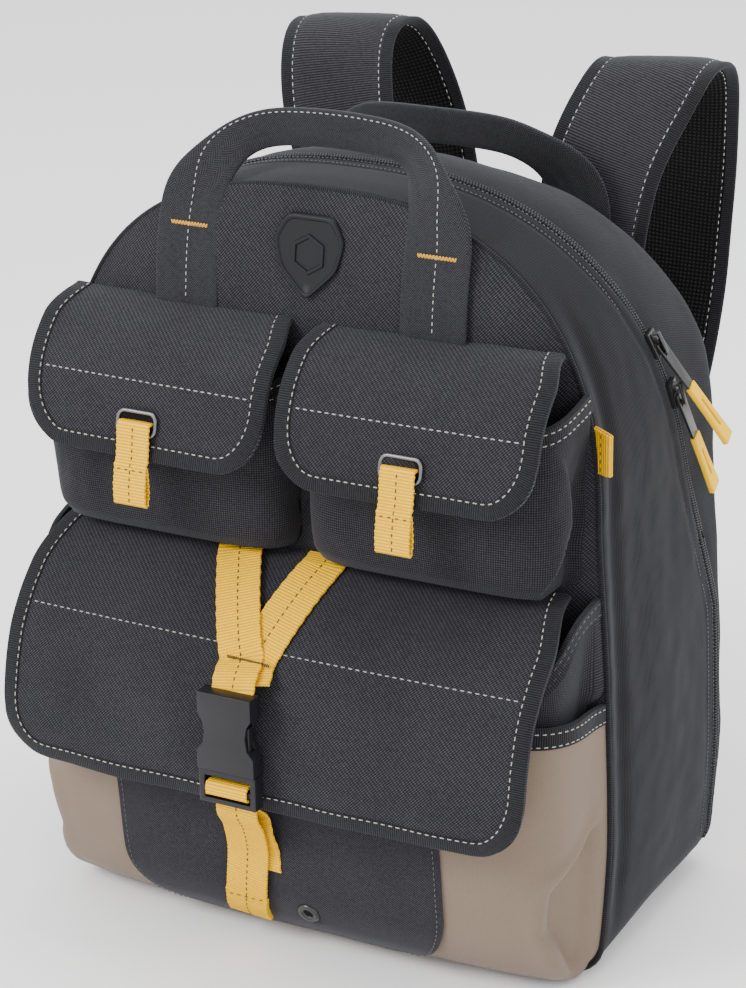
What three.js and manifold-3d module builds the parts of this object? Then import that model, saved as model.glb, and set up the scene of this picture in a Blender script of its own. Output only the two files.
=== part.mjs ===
// A tool backpack: a zipped main bag with two small flap pockets over one large flap pocket,
// webbing handles, padded shoulder straps and a yellow yoke strap with a side release buckle.
// Millimetres, X to the right seen from the front, Y towards the wearer's back, Z up.
// The origin is on the flat base, under the middle of the main bag.
import * as THREE from "three";
import { mergeVertices } from "three/addons/utils/BufferGeometryUtils.js";
import Module from "manifold-3d";

const wasm = await Module();
wasm.setup();

// Main bag
const BODY_WIDTH = 336;
const BODY_HEIGHT = 420;
const BODY_DEPTH = 158;
const PANEL_CROWN = 15; // how far the stuffed front panel stands out past its seam
const ARCH_START = 252; // height where the straight sides turn into the arch
const ARCH_POWER = 2.5;
const SHELL_WALL = 2.5;
const FRONT_CORNER = 20;
const REAR_CORNER = 50;
const REAR_EDGE = 11; // rounding where the gusset meets the back panel
const REAR_BASE = 42; // rounding under the back panel
const TOP_RIDGE_Y = -20;
const TOP_FALL = { front: 5, rear: 23 };
const CLEARANCE = 0.3;

// Zip
const ZIP_REAR_Y = 64;
const ZIP_BEND_Z = 164;
const ZIP_SLOPE = 0.364;
const ZIP_WIDTH = 5;
const ZIP_THICKNESS = 3;
const ZIP_PROUD = 0.8;
const ZIP_LOWEST = 36;
const SEAM_GAP = 0.4;
const SLIDER_HEIGHTS = { upper: 330, lower: 301 };
const PULL_SPLAY = { upper: 8, lower: 9 };
const PULL_LIFT = { upper: 5, lower: -2 };

// Upper pockets and flaps
const UPPER_POCKET = { width: 149, base: 226, top: 328, rimDrop: 10, reach: 46, wall: 2 };
const UPPER_GAP = 10; // between the two pockets
const UPPER_FLAP = {
  inner: 10, outer: 144, flare: 6, top: 351, drop: 73,
  root: 89, front: 143, corner: 26, thickness: 2.5,
};

// Lower pocket, its tan wrap and its flap
const LOWER_POCKET = { width: 302, base: 3.6, top: 219, rimDrop: 50, reach: 64, wall: 2 };
const TAN_WRAP = { width: 321, base: 0.8, top: 160, rimDrop: -5, reach: 70, wall: 2 };
const CENTRE_PANEL = { halfWidth: 99, bottom: 9, top: 126, corner: 38, thickness: 1.8 };
const LARGE_FLAP = {
  half: 149, flare: 7.5, top: 223, drop: 119,
  root: 91, front: 168, corner: 27, thickness: 2.5,
};
const FLAP_EDGE_FALL = 5; // the flap's side edges lie this far behind its middle

// Webbing and hardware
const HANDLE = { footX: 73, width: 38, grip: 20, thickness: 2.2, gripThickness: 5 };
const YELLOW_WEB = { width: 25, thickness: 1.5 };
const LOOP_WEB = { width: 20, thickness: 1.4 };
const BUCKLE = { middle: -6, width: 34, height: 44, thickness: 10, top: 171, frame: 19 };
const SHOULDER = { width: 64, thickness: 10 };
const STRAP_WEB = { width: 25, thickness: 1.6 };
const BACK_PAD = { scale: 0.6, thickness: 9 };
const BADGE = { width: 42, height: 44, thickness: 2.6, middle: 383 };
const EYELET = { outer: 6.5, inner: 2.6, thickness: 1.6 };

const SEAM_Y = -BODY_DEPTH / 2;
const REAR_Y = BODY_DEPTH / 2;

const COLOURS = {
  black: new THREE.MeshStandardMaterial({ color: 0x3a3b40, roughness: 0.9 }),
  webbing: new THREE.MeshStandardMaterial({ color: 0x2b2c2f, roughness: 0.85 }),
  tan: new THREE.MeshStandardMaterial({ color: 0x9a8877, roughness: 0.85 }),
  yellow: new THREE.MeshStandardMaterial({ color: 0xf6c314, roughness: 0.7 }),
  plastic: new THREE.MeshStandardMaterial({ color: 0x2a2a2d, roughness: 0.45 }),
  metal: new THREE.MeshStandardMaterial({ color: 0x55565a, roughness: 0.35, metalness: 0.8 }),
  mesh: new THREE.MeshStandardMaterial({ color: 0x1b1b1d, roughness: 0.95 }),
};

const vec = (x, y, z) => new THREE.Vector3(x, y, z);
const mix = (a, b, t) => a + (b - a) * t;
const clamp01 = (t) => Math.min(1, Math.max(0, t));
const smooth = (t) => clamp01(t) ** 2 * (3 - 2 * clamp01(t));
const radians = (degrees) => (degrees * Math.PI) / 180;

// Straight-line reading of a table whose first column rises.
function readTable(table, key, column, at) {
  const last = table.length - 1;
  if (at <= table[0][key]) return table[0][column];
  if (at >= table[last][key]) return table[last][column];
  const i = table.findIndex((row) => row[key] >= at);
  const share = (at - table[i - 1][key]) / (table[i][key] - table[i - 1][key]);
  return mix(table[i - 1][column], table[i][column], share);
}

// Triangles to a geometry that faces out, whichever way its rows ran.
function geometryFrom(points, faces) {
  let volume = 0;
  for (const [a, b, c] of faces) {
    volume += points[a].dot(points[b].clone().cross(points[c]));
  }
  const ordered = volume < 0 ? faces.map(([a, b, c]) => [a, c, b]) : faces;
  const geometry = new THREE.BufferGeometry().setFromPoints(points);
  geometry.setIndex(ordered.flat());
  return geometry;
}

function addQuad(points, faces, a, b, c, d) {
  for (const [i, j, k] of [[a, b, c], [a, c, d]]) {
    const flat =
      points[i].distanceTo(points[j]) < 1e-4 ||
      points[j].distanceTo(points[k]) < 1e-4 ||
      points[k].distanceTo(points[i]) < 1e-4;
    if (!flat) faces.push([i, j, k]);
  }
}

// A solid from closed loops in order, each end drawn to a point.
function loopSolid(loops) {
  const middle = (loop) => loop.reduce((sum, p) => sum.add(p), vec(0, 0, 0)).divideScalar(loop.length);
  const n = loops[0].length;
  const points = [];
  const faces = [];
  loops.forEach((loop) => points.push(...loop.map((p) => p.clone())));
  for (let i = 0; i + 1 < loops.length; i++) {
    for (let j = 0; j < n; j++) {
      const k = (j + 1) % n;
      addQuad(points, faces, i * n + j, i * n + k, (i + 1) * n + k, (i + 1) * n + j);
    }
  }
  const start = points.push(middle(loops[0])) - 1;
  const end = points.push(middle(loops[loops.length - 1])) - 1;
  const base = (loops.length - 1) * n;
  for (let j = 0; j < n; j++) {
    const k = (j + 1) % n;
    addQuad(points, faces, start, k, j, j);
    addQuad(points, faces, end, base + j, base + k, base + k);
  }
  return geometryFrom(points, faces);
}

// A sheet from two grids of the same size, one on each side.
function sheetSolid(outer, inner) {
  const rows = outer.length;
  const n = outer[0].length;
  const points = [...outer.flat(), ...inner.flat()].map((p) => p.clone());
  const faces = [];
  const front = (i, j) => i * n + j;
  const back = (i, j) => rows * n + i * n + j;
  for (let i = 0; i + 1 < rows; i++) {
    for (let j = 0; j + 1 < n; j++) {
      addQuad(points, faces, front(i, j), front(i, j + 1), front(i + 1, j + 1), front(i + 1, j));
      addQuad(points, faces, back(i, j), back(i + 1, j), back(i + 1, j + 1), back(i, j + 1));
    }
    addQuad(points, faces, front(i, 0), front(i + 1, 0), back(i + 1, 0), back(i, 0));
    addQuad(points, faces, front(i, n - 1), back(i, n - 1), back(i + 1, n - 1), front(i + 1, n - 1));
  }
  for (let j = 0; j + 1 < n; j++) {
    addQuad(points, faces, front(0, j), back(0, j), back(0, j + 1), front(0, j + 1));
    const last = rows - 1;
    addQuad(points, faces, front(last, j), front(last, j + 1), back(last, j + 1), back(last, j));
  }
  return geometryFrom(points, faces);
}

// The grid's outward normals, by differences between neighbours.
function gridNormals(grid, outward) {
  return grid.map((row, i) =>
    row.map((_, j) => {
      const down = grid[Math.min(i + 1, grid.length - 1)][j].clone().sub(grid[Math.max(i - 1, 0)][j]);
      const across = row[Math.min(j + 1, row.length - 1)].clone().sub(row[Math.max(j - 1, 0)]);
      const normal = across.cross(down).normalize();
      return normal.dot(outward) < 0 ? normal.negate() : normal;
    }),
  );
}

const shiftGrid = (grid, normals, by) =>
  grid.map((row, i) => row.map((p, j) => p.clone().addScaledVector(normals[i][j], by)));

// Flat webbing along stations of {at, across, face, width, thickness}.
function ribbon(stations, lanes = [-1, 0, 1], edge = 1) {
  const side = (sign) =>
    stations.map((s) =>
      lanes.map((lane) => {
        const thin = Math.abs(lane) === 1 ? edge : 1;
        return s.at
          .clone()
          .addScaledVector(s.across, (lane * s.width) / 2)
          .addScaledVector(s.face, (sign * thin * s.thickness) / 2);
      }),
    );
  return sheetSolid(side(1), side(-1));
}

// Stations along a smooth line, with the face turned by each point's own across direction.
function stationsAlong(points, count, read) {
  const curve = new THREE.CatmullRomCurve3(points.map((p) => p.at), false, "centripetal");
  const lengths = curve.getLengths(240);
  const stations = [];
  for (let i = 0; i <= count; i++) {
    const at = curve.getPointAt(i / count);
    const tangent = curve.getTangentAt(i / count);
    const t = curve.getUtoTmapping(i / count) * (points.length - 1);
    const lower = Math.min(points.length - 2, Math.floor(t));
    stations.push({ at, ...read(points[lower], points[lower + 1], t - lower, tangent) });
  }
  return { stations, length: lengths[lengths.length - 1] };
}

function toSolid(geometry) {
  const plain = geometry.index ? geometry.toNonIndexed() : geometry.clone();
  plain.deleteAttribute("normal");
  plain.deleteAttribute("uv");
  const merged = mergeVertices(plain, 1e-4);
  const vertProperties = Float32Array.from(merged.attributes.position.array);
  const triVerts = Uint32Array.from(merged.index.array);
  return new wasm.Manifold(new wasm.Mesh({ numProp: 3, vertProperties, triVerts }));
}

// The biggest single body of a boolean's result, as a geometry.
function fromSolid(solid) {
  const bodies = solid.decompose();
  const biggest = bodies.reduce((a, b) => (b.volume() > a.volume() ? b : a));
  const made = biggest.getMesh();
  const geometry = new THREE.BufferGeometry();
  geometry.setAttribute("position", new THREE.BufferAttribute(Float32Array.from(made.vertProperties), 3));
  geometry.setIndex(Array.from(made.triVerts));
  return geometry;
}

const cut = (geometry, ...tools) =>
  fromSolid(tools.reduce((solid, tool) => solid.subtract(tool), toSolid(geometry)));

const backpack = new THREE.Group();

function addPiece(name, geometry, material) {
  const mesh = new THREE.Mesh(geometry, material);
  mesh.name = name;
  backpack.add(mesh);
  return mesh;
}

// The bag's half width up to the arch, as shares of its height and half width.
const SIDE_TABLE = [
  { height: 0, width: 0.962 },
  { height: 0.08, width: 0.985 },
  { height: 0.2, width: 1 },
  { height: 0.4, width: 0.985 },
  { height: 0.6, width: 0.952 },
];
const halfWidthAt = (z) => (BODY_WIDTH / 2) * readTable(SIDE_TABLE, "height", "width", z / BODY_HEIGHT);

function outlineHalfWidth(z) {
  if (z <= ARCH_START) return halfWidthAt(z);
  const rise = clamp01((z - ARCH_START) / (BODY_HEIGHT - ARCH_START));
  return halfWidthAt(ARCH_START) * (1 - rise ** ARCH_POWER) ** (1 / ARCH_POWER);
}

// One closed outline of the bag seen from the front, from the middle of the base and round by the right.
const BASE_STEPS = 2;
const CORNER_STEPS = 4;
const SIDE_STEPS = 5;
const ARCH_STEPS = 10;
function outline({ inset, corner, top, base }) {
  const radius = Math.max(corner - inset, 2);
  const floor = base + inset;
  const flat = halfWidthAt(base + corner) - inset - radius;
  const right = [];
  for (let i = 0; i < BASE_STEPS; i++) right.push([(flat * i) / BASE_STEPS, floor]);
  for (let i = 0; i < CORNER_STEPS; i++) {
    const turn = radians((90 * i) / CORNER_STEPS);
    right.push([flat + radius * Math.sin(turn), floor + radius * (1 - Math.cos(turn))]);
  }
  for (let i = 0; i < SIDE_STEPS; i++) {
    const z = mix(floor + radius, ARCH_START, i / SIDE_STEPS);
    right.push([halfWidthAt(z) - inset, z]);
  }
  for (let i = 0; i <= ARCH_STEPS; i++) {
    const turn = radians((90 * i) / ARCH_STEPS);
    const x = (halfWidthAt(ARCH_START) - inset) * Math.max(0, Math.cos(turn)) ** (2 / ARCH_POWER);
    right.push([x, ARCH_START + (top - inset - ARCH_START) * Math.sin(turn) ** (2 / ARCH_POWER)]);
  }
  const left = right.slice(1, -1).map(([x, z]) => [-x, z]).reverse();
  return [...right, ...left];
}

// The outline's own sizes at one depth of the bag.
function sectionAt(y, inset = 0) {
  const back = Math.max(0, y - (REAR_Y - REAR_BASE));
  const edge = Math.max(0, y - (REAR_Y - REAR_EDGE));
  const rounding = REAR_EDGE - Math.sqrt(Math.max(0, REAR_EDGE ** 2 - edge ** 2));
  return {
    inset: inset + rounding,
    corner: mix(FRONT_CORNER, REAR_CORNER, smooth((y - SEAM_Y) / REAR_Y)),
    top: BODY_HEIGHT - (y > TOP_RIDGE_Y ? TOP_FALL.rear : TOP_FALL.front) * ((y - TOP_RIDGE_Y) / REAR_Y) ** 2,
    base: (REAR_BASE - Math.sqrt(Math.max(0, REAR_BASE ** 2 - back ** 2))) * 0.75,
  };
}

const bodyLoop = (y, inset = 0) => outline(sectionAt(y, inset)).map(([x, z]) => vec(x, y, z));

// A loop whose depth changes round the outline.
function bodyLoopBy(depthOf, inset = 0) {
  return bodyLoop(0, inset).map((start, i) => {
    let point = start;
    for (let pass = 0; pass < 4; pass++) {
      const y = depthOf(point);
      point = bodyLoop(y, inset)[i];
    }
    return point;
  });
}

// The stuffed front panel's surface.
function panelY(x, z) {
  const across = 1 - Math.min(1, Math.abs(x) / Math.max(outlineHalfWidth(z), 1)) ** 4;
  const along = 1 - Math.min(1, Math.abs((2 * z) / BODY_HEIGHT - 1)) ** 6;
  return SEAM_Y - PANEL_CROWN * across * along;
}

const zipY = (z) => ZIP_REAR_Y - ZIP_SLOPE * Math.max(0, z - ZIP_BEND_Z);
const zipHalfGap = (z) => {
  const open = smooth((z - ZIP_LOWEST / 2) / (ZIP_LOWEST / 2));
  return mix(SEAM_GAP / 2, ZIP_WIDTH / 2 + CLEARANCE, open);
};

const PANEL_RINGS = [0, 0.35, 0.65, 0.84, 0.95, 1];
const PANEL_MIDDLE_Z = BODY_HEIGHT / 2;
function panelLoops(inset, push) {
  const rim = bodyLoop(SEAM_Y, inset);
  return PANEL_RINGS.map((share) =>
    rim.map((p) => {
      const x = p.x * share;
      const z = mix(PANEL_MIDDLE_Z, p.z, share);
      return vec(x, panelY(x, z) + push, z);
    }),
  );
}

const GUSSET_RINGS = [0.4, 0.8, 1];
const SEWN_RINGS = [0.3, 0.65]; // the stretch of the gusset that other pieces are sewn to
const gussetLoops = (inset, rings = GUSSET_RINGS) =>
  rings.map((share) => bodyLoopBy((p) => mix(SEAM_Y, zipY(p.z) - zipHalfGap(p.z), share), inset));

function frontShell() {
  const outer = [...panelLoops(0, 0), ...gussetLoops(0)];
  const inner = [...panelLoops(SHELL_WALL, SHELL_WALL), ...gussetLoops(SHELL_WALL)];
  return loopSolid([...outer, ...inner.reverse()]);
}

function rearShell() {
  const flank = (inset) =>
    [0, 0.5, 1].map((share) =>
      bodyLoopBy((p) => mix(zipY(p.z) + zipHalfGap(p.z), REAR_Y - REAR_EDGE, share), inset),
    );
  const edge = (inset) =>
    [35, 65, 90].map((turn) => {
      const y = REAR_Y - REAR_EDGE + REAR_EDGE * Math.sin(radians(turn));
      return bodyLoop(y, inset).map((p) => vec(p.x, y - (inset * y) / REAR_Y * Math.sin(radians(turn)), p.z));
    });
  const side = (inset) => {
    const rings = [...flank(inset), ...edge(inset)];
    const rim = rings[rings.length - 1];
    const panel = [0.6, 0].map((share) =>
      rim.map((p) => vec(p.x * share, p.y, mix(PANEL_MIDDLE_Z, p.z, share))),
    );
    return [...rings, ...panel];
  };
  return loopSolid([...side(0).reverse(), ...side(SHELL_WALL)]);
}

// The front of the bag, grown by a clearance, for cutting what is sewn to it.
function grownBody(by) {
  return toSolid(loopSolid([...panelLoops(-by, -by), ...gussetLoops(-by, SEWN_RINGS)]));
}
const BODY_CUTTER = grownBody(CLEARANCE);

addPiece("front_shell", frontShell(), COLOURS.black);
addPiece("rear_shell", rearShell(), COLOURS.black);

// The zip's coil, in the gap between the two shells.
function zipChain() {
  const lanes = (depth) =>
    [-0.5, 0.5].map((side) => bodyLoopBy((p) => zipY(p.z) + side * ZIP_WIDTH, depth));
  const [nearOuter, farOuter] = lanes(-ZIP_PROUD);
  const [nearInner, farInner] = lanes(ZIP_THICKNESS - ZIP_PROUD);
  const kept = nearOuter.map((p, i) => i).filter((i) => nearOuter[i].z >= ZIP_LOWEST);
  return sheetSolid(
    kept.map((i) => [nearOuter[i], farOuter[i]]),
    kept.map((i) => [nearInner[i], farInner[i]]),
  );
}
addPiece("zip_chain", zipChain(), COLOURS.webbing);

// Where a slider sits: the point on the zip, the way down the zip, out of the bag, and across it.
function zipPlace(z) {
  const on = (height) => vec(outlineHalfWidth(height), zipY(height), height);
  const at = on(z);
  const down = on(z - 5).sub(on(z + 5)).normalize();
  const out = vec(down.z, 0, -down.x).multiplyScalar(-1);
  out.addScaledVector(down, -out.dot(down)).normalize();
  const across = out.clone().cross(down).normalize();
  return { at, down, out, across };
}

function placed(geometry, at, xAxis, yAxis, zAxis) {
  return geometry.applyMatrix4(new THREE.Matrix4().makeBasis(xAxis, yAxis, zAxis).setPosition(at));
}

const box = (x, y, z, cx = 0, cy = 0, cz = 0) => new THREE.BoxGeometry(x, y, z).translate(cx, cy, cz);

const SLIDER = { length: 15, width: 8, thickness: 3, bridge: 3, rise: 4.6, bar: 1.3 };
const PULL = { length: 32, width: 8.4, tip: 6.6, thickness: 1.5, leg: 1.4, eye: 8 };
const TAG = { length: 41, width: 10, thickness: 3.2, slot: 2, slotLength: 20 };

// Slider: a body with an arched bridge along it. Local X is down the zip, Y across, Z out of the bag.
function sliderSolid() {
  const lift = ZIP_PROUD + CLEARANCE;
  const body = toSolid(box(SLIDER.length, SLIDER.width, SLIDER.thickness, 0, 0, lift + SLIDER.thickness / 2));
  const top = lift + SLIDER.thickness;
  const arch = toSolid(box(SLIDER.length - 2, SLIDER.bridge, SLIDER.rise, 0, 0, top + SLIDER.rise / 2 - 0.4));
  const tunnel = toSolid(
    box(
      SLIDER.length - 2 - 2 * SLIDER.bar, SLIDER.bridge * 2, SLIDER.rise,
      0, 0, top + SLIDER.rise / 2 - SLIDER.bar,
    ),
  );
  return fromSolid(body.add(arch).subtract(tunnel.subtract(body)));
}

// Pull: its crossbar lies in the bridge's tunnel at the local origin, and its plate runs down local X.
function pullSolid() {
  const shape = new THREE.Shape();
  const half = PULL.width / 2;
  shape.moveTo(-0.8, -half);
  shape.lineTo(PULL.length, -PULL.tip / 2);
  shape.lineTo(PULL.length, PULL.tip / 2);
  shape.lineTo(-0.8, half);
  shape.closePath();
  const eye = new THREE.Path();
  eye.moveTo(0.8, -half + PULL.leg);
  eye.lineTo(0.8, half - PULL.leg);
  eye.lineTo(PULL.eye, half - PULL.leg);
  eye.lineTo(PULL.eye, -half + PULL.leg);
  eye.closePath();
  shape.holes.push(eye);
  const plate = new THREE.ExtrudeGeometry(shape, { depth: PULL.thickness, bevelEnabled: false });
  return plate.translate(0, 0, -PULL.thickness / 2);
}

// Tag: a yellow moulded grip past the end of the pull, with a long slot and a flared end.
function tagSolid() {
  const shape = new THREE.Shape();
  const start = PULL.length + CLEARANCE;
  const half = TAG.width / 2;
  shape.moveTo(start, -half * 0.75);
  shape.lineTo(start + TAG.length * 0.5, -half * 0.8);
  shape.lineTo(start + TAG.length, -half);
  shape.lineTo(start + TAG.length, half);
  shape.lineTo(start + TAG.length * 0.5, half * 0.8);
  shape.lineTo(start, half * 0.75);
  shape.closePath();
  const slot = new THREE.Path();
  const slotStart = start + (TAG.length - TAG.slotLength) / 2;
  slot.moveTo(slotStart, -TAG.slot / 2);
  slot.lineTo(slotStart, TAG.slot / 2);
  slot.lineTo(slotStart + TAG.slotLength, TAG.slot / 2);
  slot.lineTo(slotStart + TAG.slotLength, -TAG.slot / 2);
  slot.closePath();
  shape.holes.push(slot);
  const grip = new THREE.ExtrudeGeometry(shape, { depth: TAG.thickness, bevelEnabled: false });
  return grip.translate(0, 0, -TAG.thickness / 2);
}

for (const which of ["upper", "lower"]) {
  const { at, down, out, across } = zipPlace(SLIDER_HEIGHTS[which]);
  addPiece(`zip_slider_${which}`, placed(sliderSolid(), at, down, across, out), COLOURS.metal);
  const pivot = at.clone().addScaledVector(out, ZIP_PROUD + CLEARANCE + SLIDER.thickness + 1.5);
  const splay = radians(PULL_SPLAY[which]);
  const lift = radians(PULL_LIFT[which]);
  const along = down.clone().multiplyScalar(Math.cos(splay)).addScaledVector(across, Math.sin(splay));
  const hinge = out.clone().cross(along).normalize();
  const run = along.clone().multiplyScalar(Math.cos(lift)).addScaledVector(out, Math.sin(lift));
  const face = run.clone().cross(hinge).normalize();
  addPiece(`zip_pull_${which}`, placed(pullSolid(), pivot, run, hinge, face), COLOURS.metal);
  addPiece(`pull_tag_${which}`, placed(tagSolid(), pivot, run, hinge, face), COLOURS.yellow);
}

// Patch pockets: bowls with no back wall, sewn to the front panel.
// Shares of a pocket's height, forward reach and half width, from its base up.
const UPPER_TABLE = [
  { height: 0, reach: 0.76, width: 0.95 },
  { height: 0.08, reach: 0.86, width: 0.99 },
  { height: 0.45, reach: 0.95, width: 1 },
  { height: 1, reach: 1, width: 1 },
];
const LOWER_TABLE = [
  { height: 0, reach: 0.29, width: 0.96 },
  { height: 0.035, reach: 0.46, width: 0.97 },
  { height: 0.12, reach: 0.71, width: 0.98 },
  { height: 0.25, reach: 0.85, width: 0.99 },
  { height: 0.52, reach: 0.92, width: 1 },
  { height: 0.75, reach: 1, width: 1.03 },
  { height: 1, reach: 0.95, width: 1.06 },
];
const TAN_TABLE = [
  { height: 0, reach: 0.25, width: 0.955 },
  { height: 0.02, reach: 0.385, width: 0.97 },
  { height: 0.05, reach: 0.51, width: 0.98 },
  { height: 0.14, reach: 0.73, width: 0.99 },
  { height: 0.24, reach: 0.82, width: 1 },
  { height: 0.54, reach: 0.9, width: 1.01 },
  { height: 0.8, reach: 1, width: 1.02 },
  { height: 1, reach: 0.94, width: 1.015 },
];
const PLAN_POWER = 5;
const PLAN_STEPS = 12;
const POCKET_ROOT = 8; // how far a pocket's raw form runs into the bag before it is cut to the panel

// One plan loop of a pocket: a rounded front half, closed by a straight chord inside the bag.
function planLoop(centreX, halfWidth, frontY, zOf) {
  const loop = [];
  for (let i = 0; i <= PLAN_STEPS; i++) {
    const turn = (Math.PI * i) / PLAN_STEPS;
    const sideways = Math.cos(turn);
    const x = centreX + halfWidth * Math.sign(sideways) * Math.abs(sideways) ** (2 / PLAN_POWER);
    const y = mix(SEAM_Y + POCKET_ROOT, frontY, Math.max(0, Math.sin(turn)) ** (2 / PLAN_POWER));
    loop.push(vec(x, y, zOf(y)));
  }
  return loop;
}

function pocketLoops(size, centreX, table, inset) {
  return table.map((row) => {
    const frontY = SEAM_Y - size.reach * row.reach + inset;
    const forward = (y) => clamp01((SEAM_Y - y) / (SEAM_Y - frontY));
    const top = (y) => size.top - size.rimDrop * forward(y);
    const zOf = (y) => Math.max(mix(size.base, top(y), row.height), size.base + inset);
    return planLoop(centreX, (size.width / 2) * row.width - inset, frontY, zOf);
  });
}

function pocketSolid(size, centreX, table) {
  const outer = pocketLoops(size, centreX, table, 0);
  const inner = pocketLoops(size, centreX, table, size.wall);
  return loopSolid([...outer, ...inner.reverse()]);
}

// A filled pocket, grown by a clearance, for cutting what lies on it.
function grownPocket(size, centreX, table, by) {
  return toSolid(loopSolid(pocketLoops(size, centreX, table, -by)));
}

const upperCentre = (UPPER_GAP + UPPER_POCKET.width) / 2;
for (const [side, sign] of [["left", -1], ["right", 1]]) {
  const raw = pocketSolid(UPPER_POCKET, sign * upperCentre, UPPER_TABLE);
  addPiece(`upper_pocket_${side}`, cut(raw, BODY_CUTTER), COLOURS.black);
}

addPiece("tan_wrap", cut(pocketSolid(TAN_WRAP, 0, TAN_TABLE), BODY_CUTTER), COLOURS.tan);
addPiece("lower_pocket", cut(pocketSolid(LOWER_POCKET, 0, LOWER_TABLE), BODY_CUTTER), COLOURS.black);

// The tan wrap's front face at a height, on its middle line.
const wrapFrontY = (z) => {
  const height = (z - TAN_WRAP.base) / (TAN_WRAP.top - TAN_WRAP.rimDrop - TAN_WRAP.base);
  return SEAM_Y - TAN_WRAP.reach * readTable(TAN_TABLE, "height", "reach", height);
};

// The black panel on the front of the tan wrap, with round bottom corners.
function centrePanel() {
  const rows = 8;
  const lanes = 8;
  const size = CENTRE_PANEL;
  const grid = [];
  for (let i = 0; i <= rows; i++) {
    const share = (1 - Math.cos((Math.PI * i) / rows / 2)) ** 0.9;
    const z = mix(size.bottom, size.top, share);
    const under = Math.max(0, size.bottom + size.corner - z);
    const half = size.halfWidth - size.corner + Math.sqrt(Math.max(0, size.corner ** 2 - under ** 2));
    const reach = SEAM_Y - wrapFrontY(z);
    grid.push(
      Array.from({ length: lanes + 1 }, (_, j) => {
        const x = mix(-half, half, j / lanes);
        const bow = (1 - Math.min(1, Math.abs(x) / (TAN_WRAP.width / 2)) ** PLAN_POWER) ** (1 / PLAN_POWER);
        return vec(x, mix(SEAM_Y + POCKET_ROOT, SEAM_Y - reach, bow), z);
      }),
    );
  }
  const normals = gridNormals(grid, vec(0, -1, 0));
  const raw = sheetSolid(shiftGrid(grid, normals, size.thickness + CLEARANCE), shiftGrid(grid, normals, -3));
  return cut(raw, grownPocket(TAN_WRAP, 0, TAN_TABLE, CLEARANCE + 0.2));
}
addPiece("centre_panel", centrePanel(), COLOURS.black);

// Flaps: shares of the drop and of the way forward, from the seam to the free edge.
const UPPER_FLAP_TABLE = [
  { drop: 0, forward: 0 },
  { drop: 0.03, forward: 0.18 },
  { drop: 0.1, forward: 0.38 },
  { drop: 0.2, forward: 0.55 },
  { drop: 0.32, forward: 0.7 },
  { drop: 0.45, forward: 0.8 },
  { drop: 0.62, forward: 0.87 },
  { drop: 1, forward: 1 },
];
const LARGE_FLAP_TABLE = [
  { drop: 0, forward: 0 },
  { drop: 0.03, forward: 0.17 },
  { drop: 0.085, forward: 0.32 },
  { drop: 0.185, forward: 0.52 },
  { drop: 0.3, forward: 0.7 },
  { drop: 0.45, forward: 0.85 },
  { drop: 0.67, forward: 0.96 },
  { drop: 0.86, forward: 1 },
  { drop: 1, forward: 0.98 },
];
const FLAP_LANES = 10;
const FLAP_CORNER_ROWS = 4;
const FLAP_ROOT_TUCK = 3; // the raw flap starts this far inside the panel it is cut to

const rightFlap = { ...UPPER_FLAP, left: UPPER_FLAP.inner, right: UPPER_FLAP.outer, table: UPPER_FLAP_TABLE };
const leftFlap = { ...rightFlap, left: -rightFlap.right, right: -rightFlap.left };
const UPPER_FLAPS = { left: leftFlap, right: rightFlap };
const largeFlap = { ...LARGE_FLAP, left: -LARGE_FLAP.half, right: LARGE_FLAP.half, table: LARGE_FLAP_TABLE };

// The flap's drop and forward shares row by row, closer together round its bottom corners.
function flapRows(flap) {
  const rows = flap.table.filter((row) => (1 - row.drop) * flap.drop > flap.corner + 1);
  for (let i = 0; i <= FLAP_CORNER_ROWS; i++) {
    const left = flap.corner * (1 - Math.sin(radians((90 * i) / FLAP_CORNER_ROWS)));
    rows.push(flapRow(flap, (flap.drop - left) / flap.drop));
  }
  return rows;
}
const flapRow = (flap, drop) => ({ drop, forward: readTable(flap.table, "drop", "forward", drop) });
const bowAt = (x) => FLAP_EDGE_FALL * (Math.abs(x) / (BODY_WIDTH / 2)) ** 2;

// A point of the flap's outer face at a side offset, or at a share from its left edge to its right.
function flapAt(flap, row, x) {
  const y = mix(-flap.root + (row.drop === 0 ? FLAP_ROOT_TUCK : 0), -flap.front, row.forward);
  return vec(x, y + bowAt(x) * row.forward, flap.top - flap.drop * row.drop);
}
function flapPoint(flap, row, share) {
  const above = Math.max(0, flap.corner - (1 - row.drop) * flap.drop);
  const trim = flap.corner - Math.sqrt(Math.max(0, flap.corner ** 2 - above ** 2));
  const flare = smooth(row.drop / 0.3) * flap.flare - trim;
  return flapAt(flap, row, mix(flap.left - flare, flap.right + flare, share));
}

const FLAP_OUT = vec(0, -0.7, 0.7);
function flapSolid(flap) {
  const grid = flapRows(flap).map((row) =>
    Array.from({ length: FLAP_LANES + 1 }, (_, j) => flapPoint(flap, row, j / FLAP_LANES)),
  );
  return sheetSolid(grid, shiftGrid(grid, gridNormals(grid, FLAP_OUT), -flap.thickness));
}

const EYELET_FRAME = { width: 25, height: 14, wire: 2, corner: 5, middle: UPPER_FLAP.top - 55 };
const LOOP_DROP = {
  top: UPPER_FLAP.top - 54,
  step: UPPER_FLAP.top - 75,
  bottom: UPPER_FLAP.top - 98,
  outward: UPPER_FLAP.front + 8,
};

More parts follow.
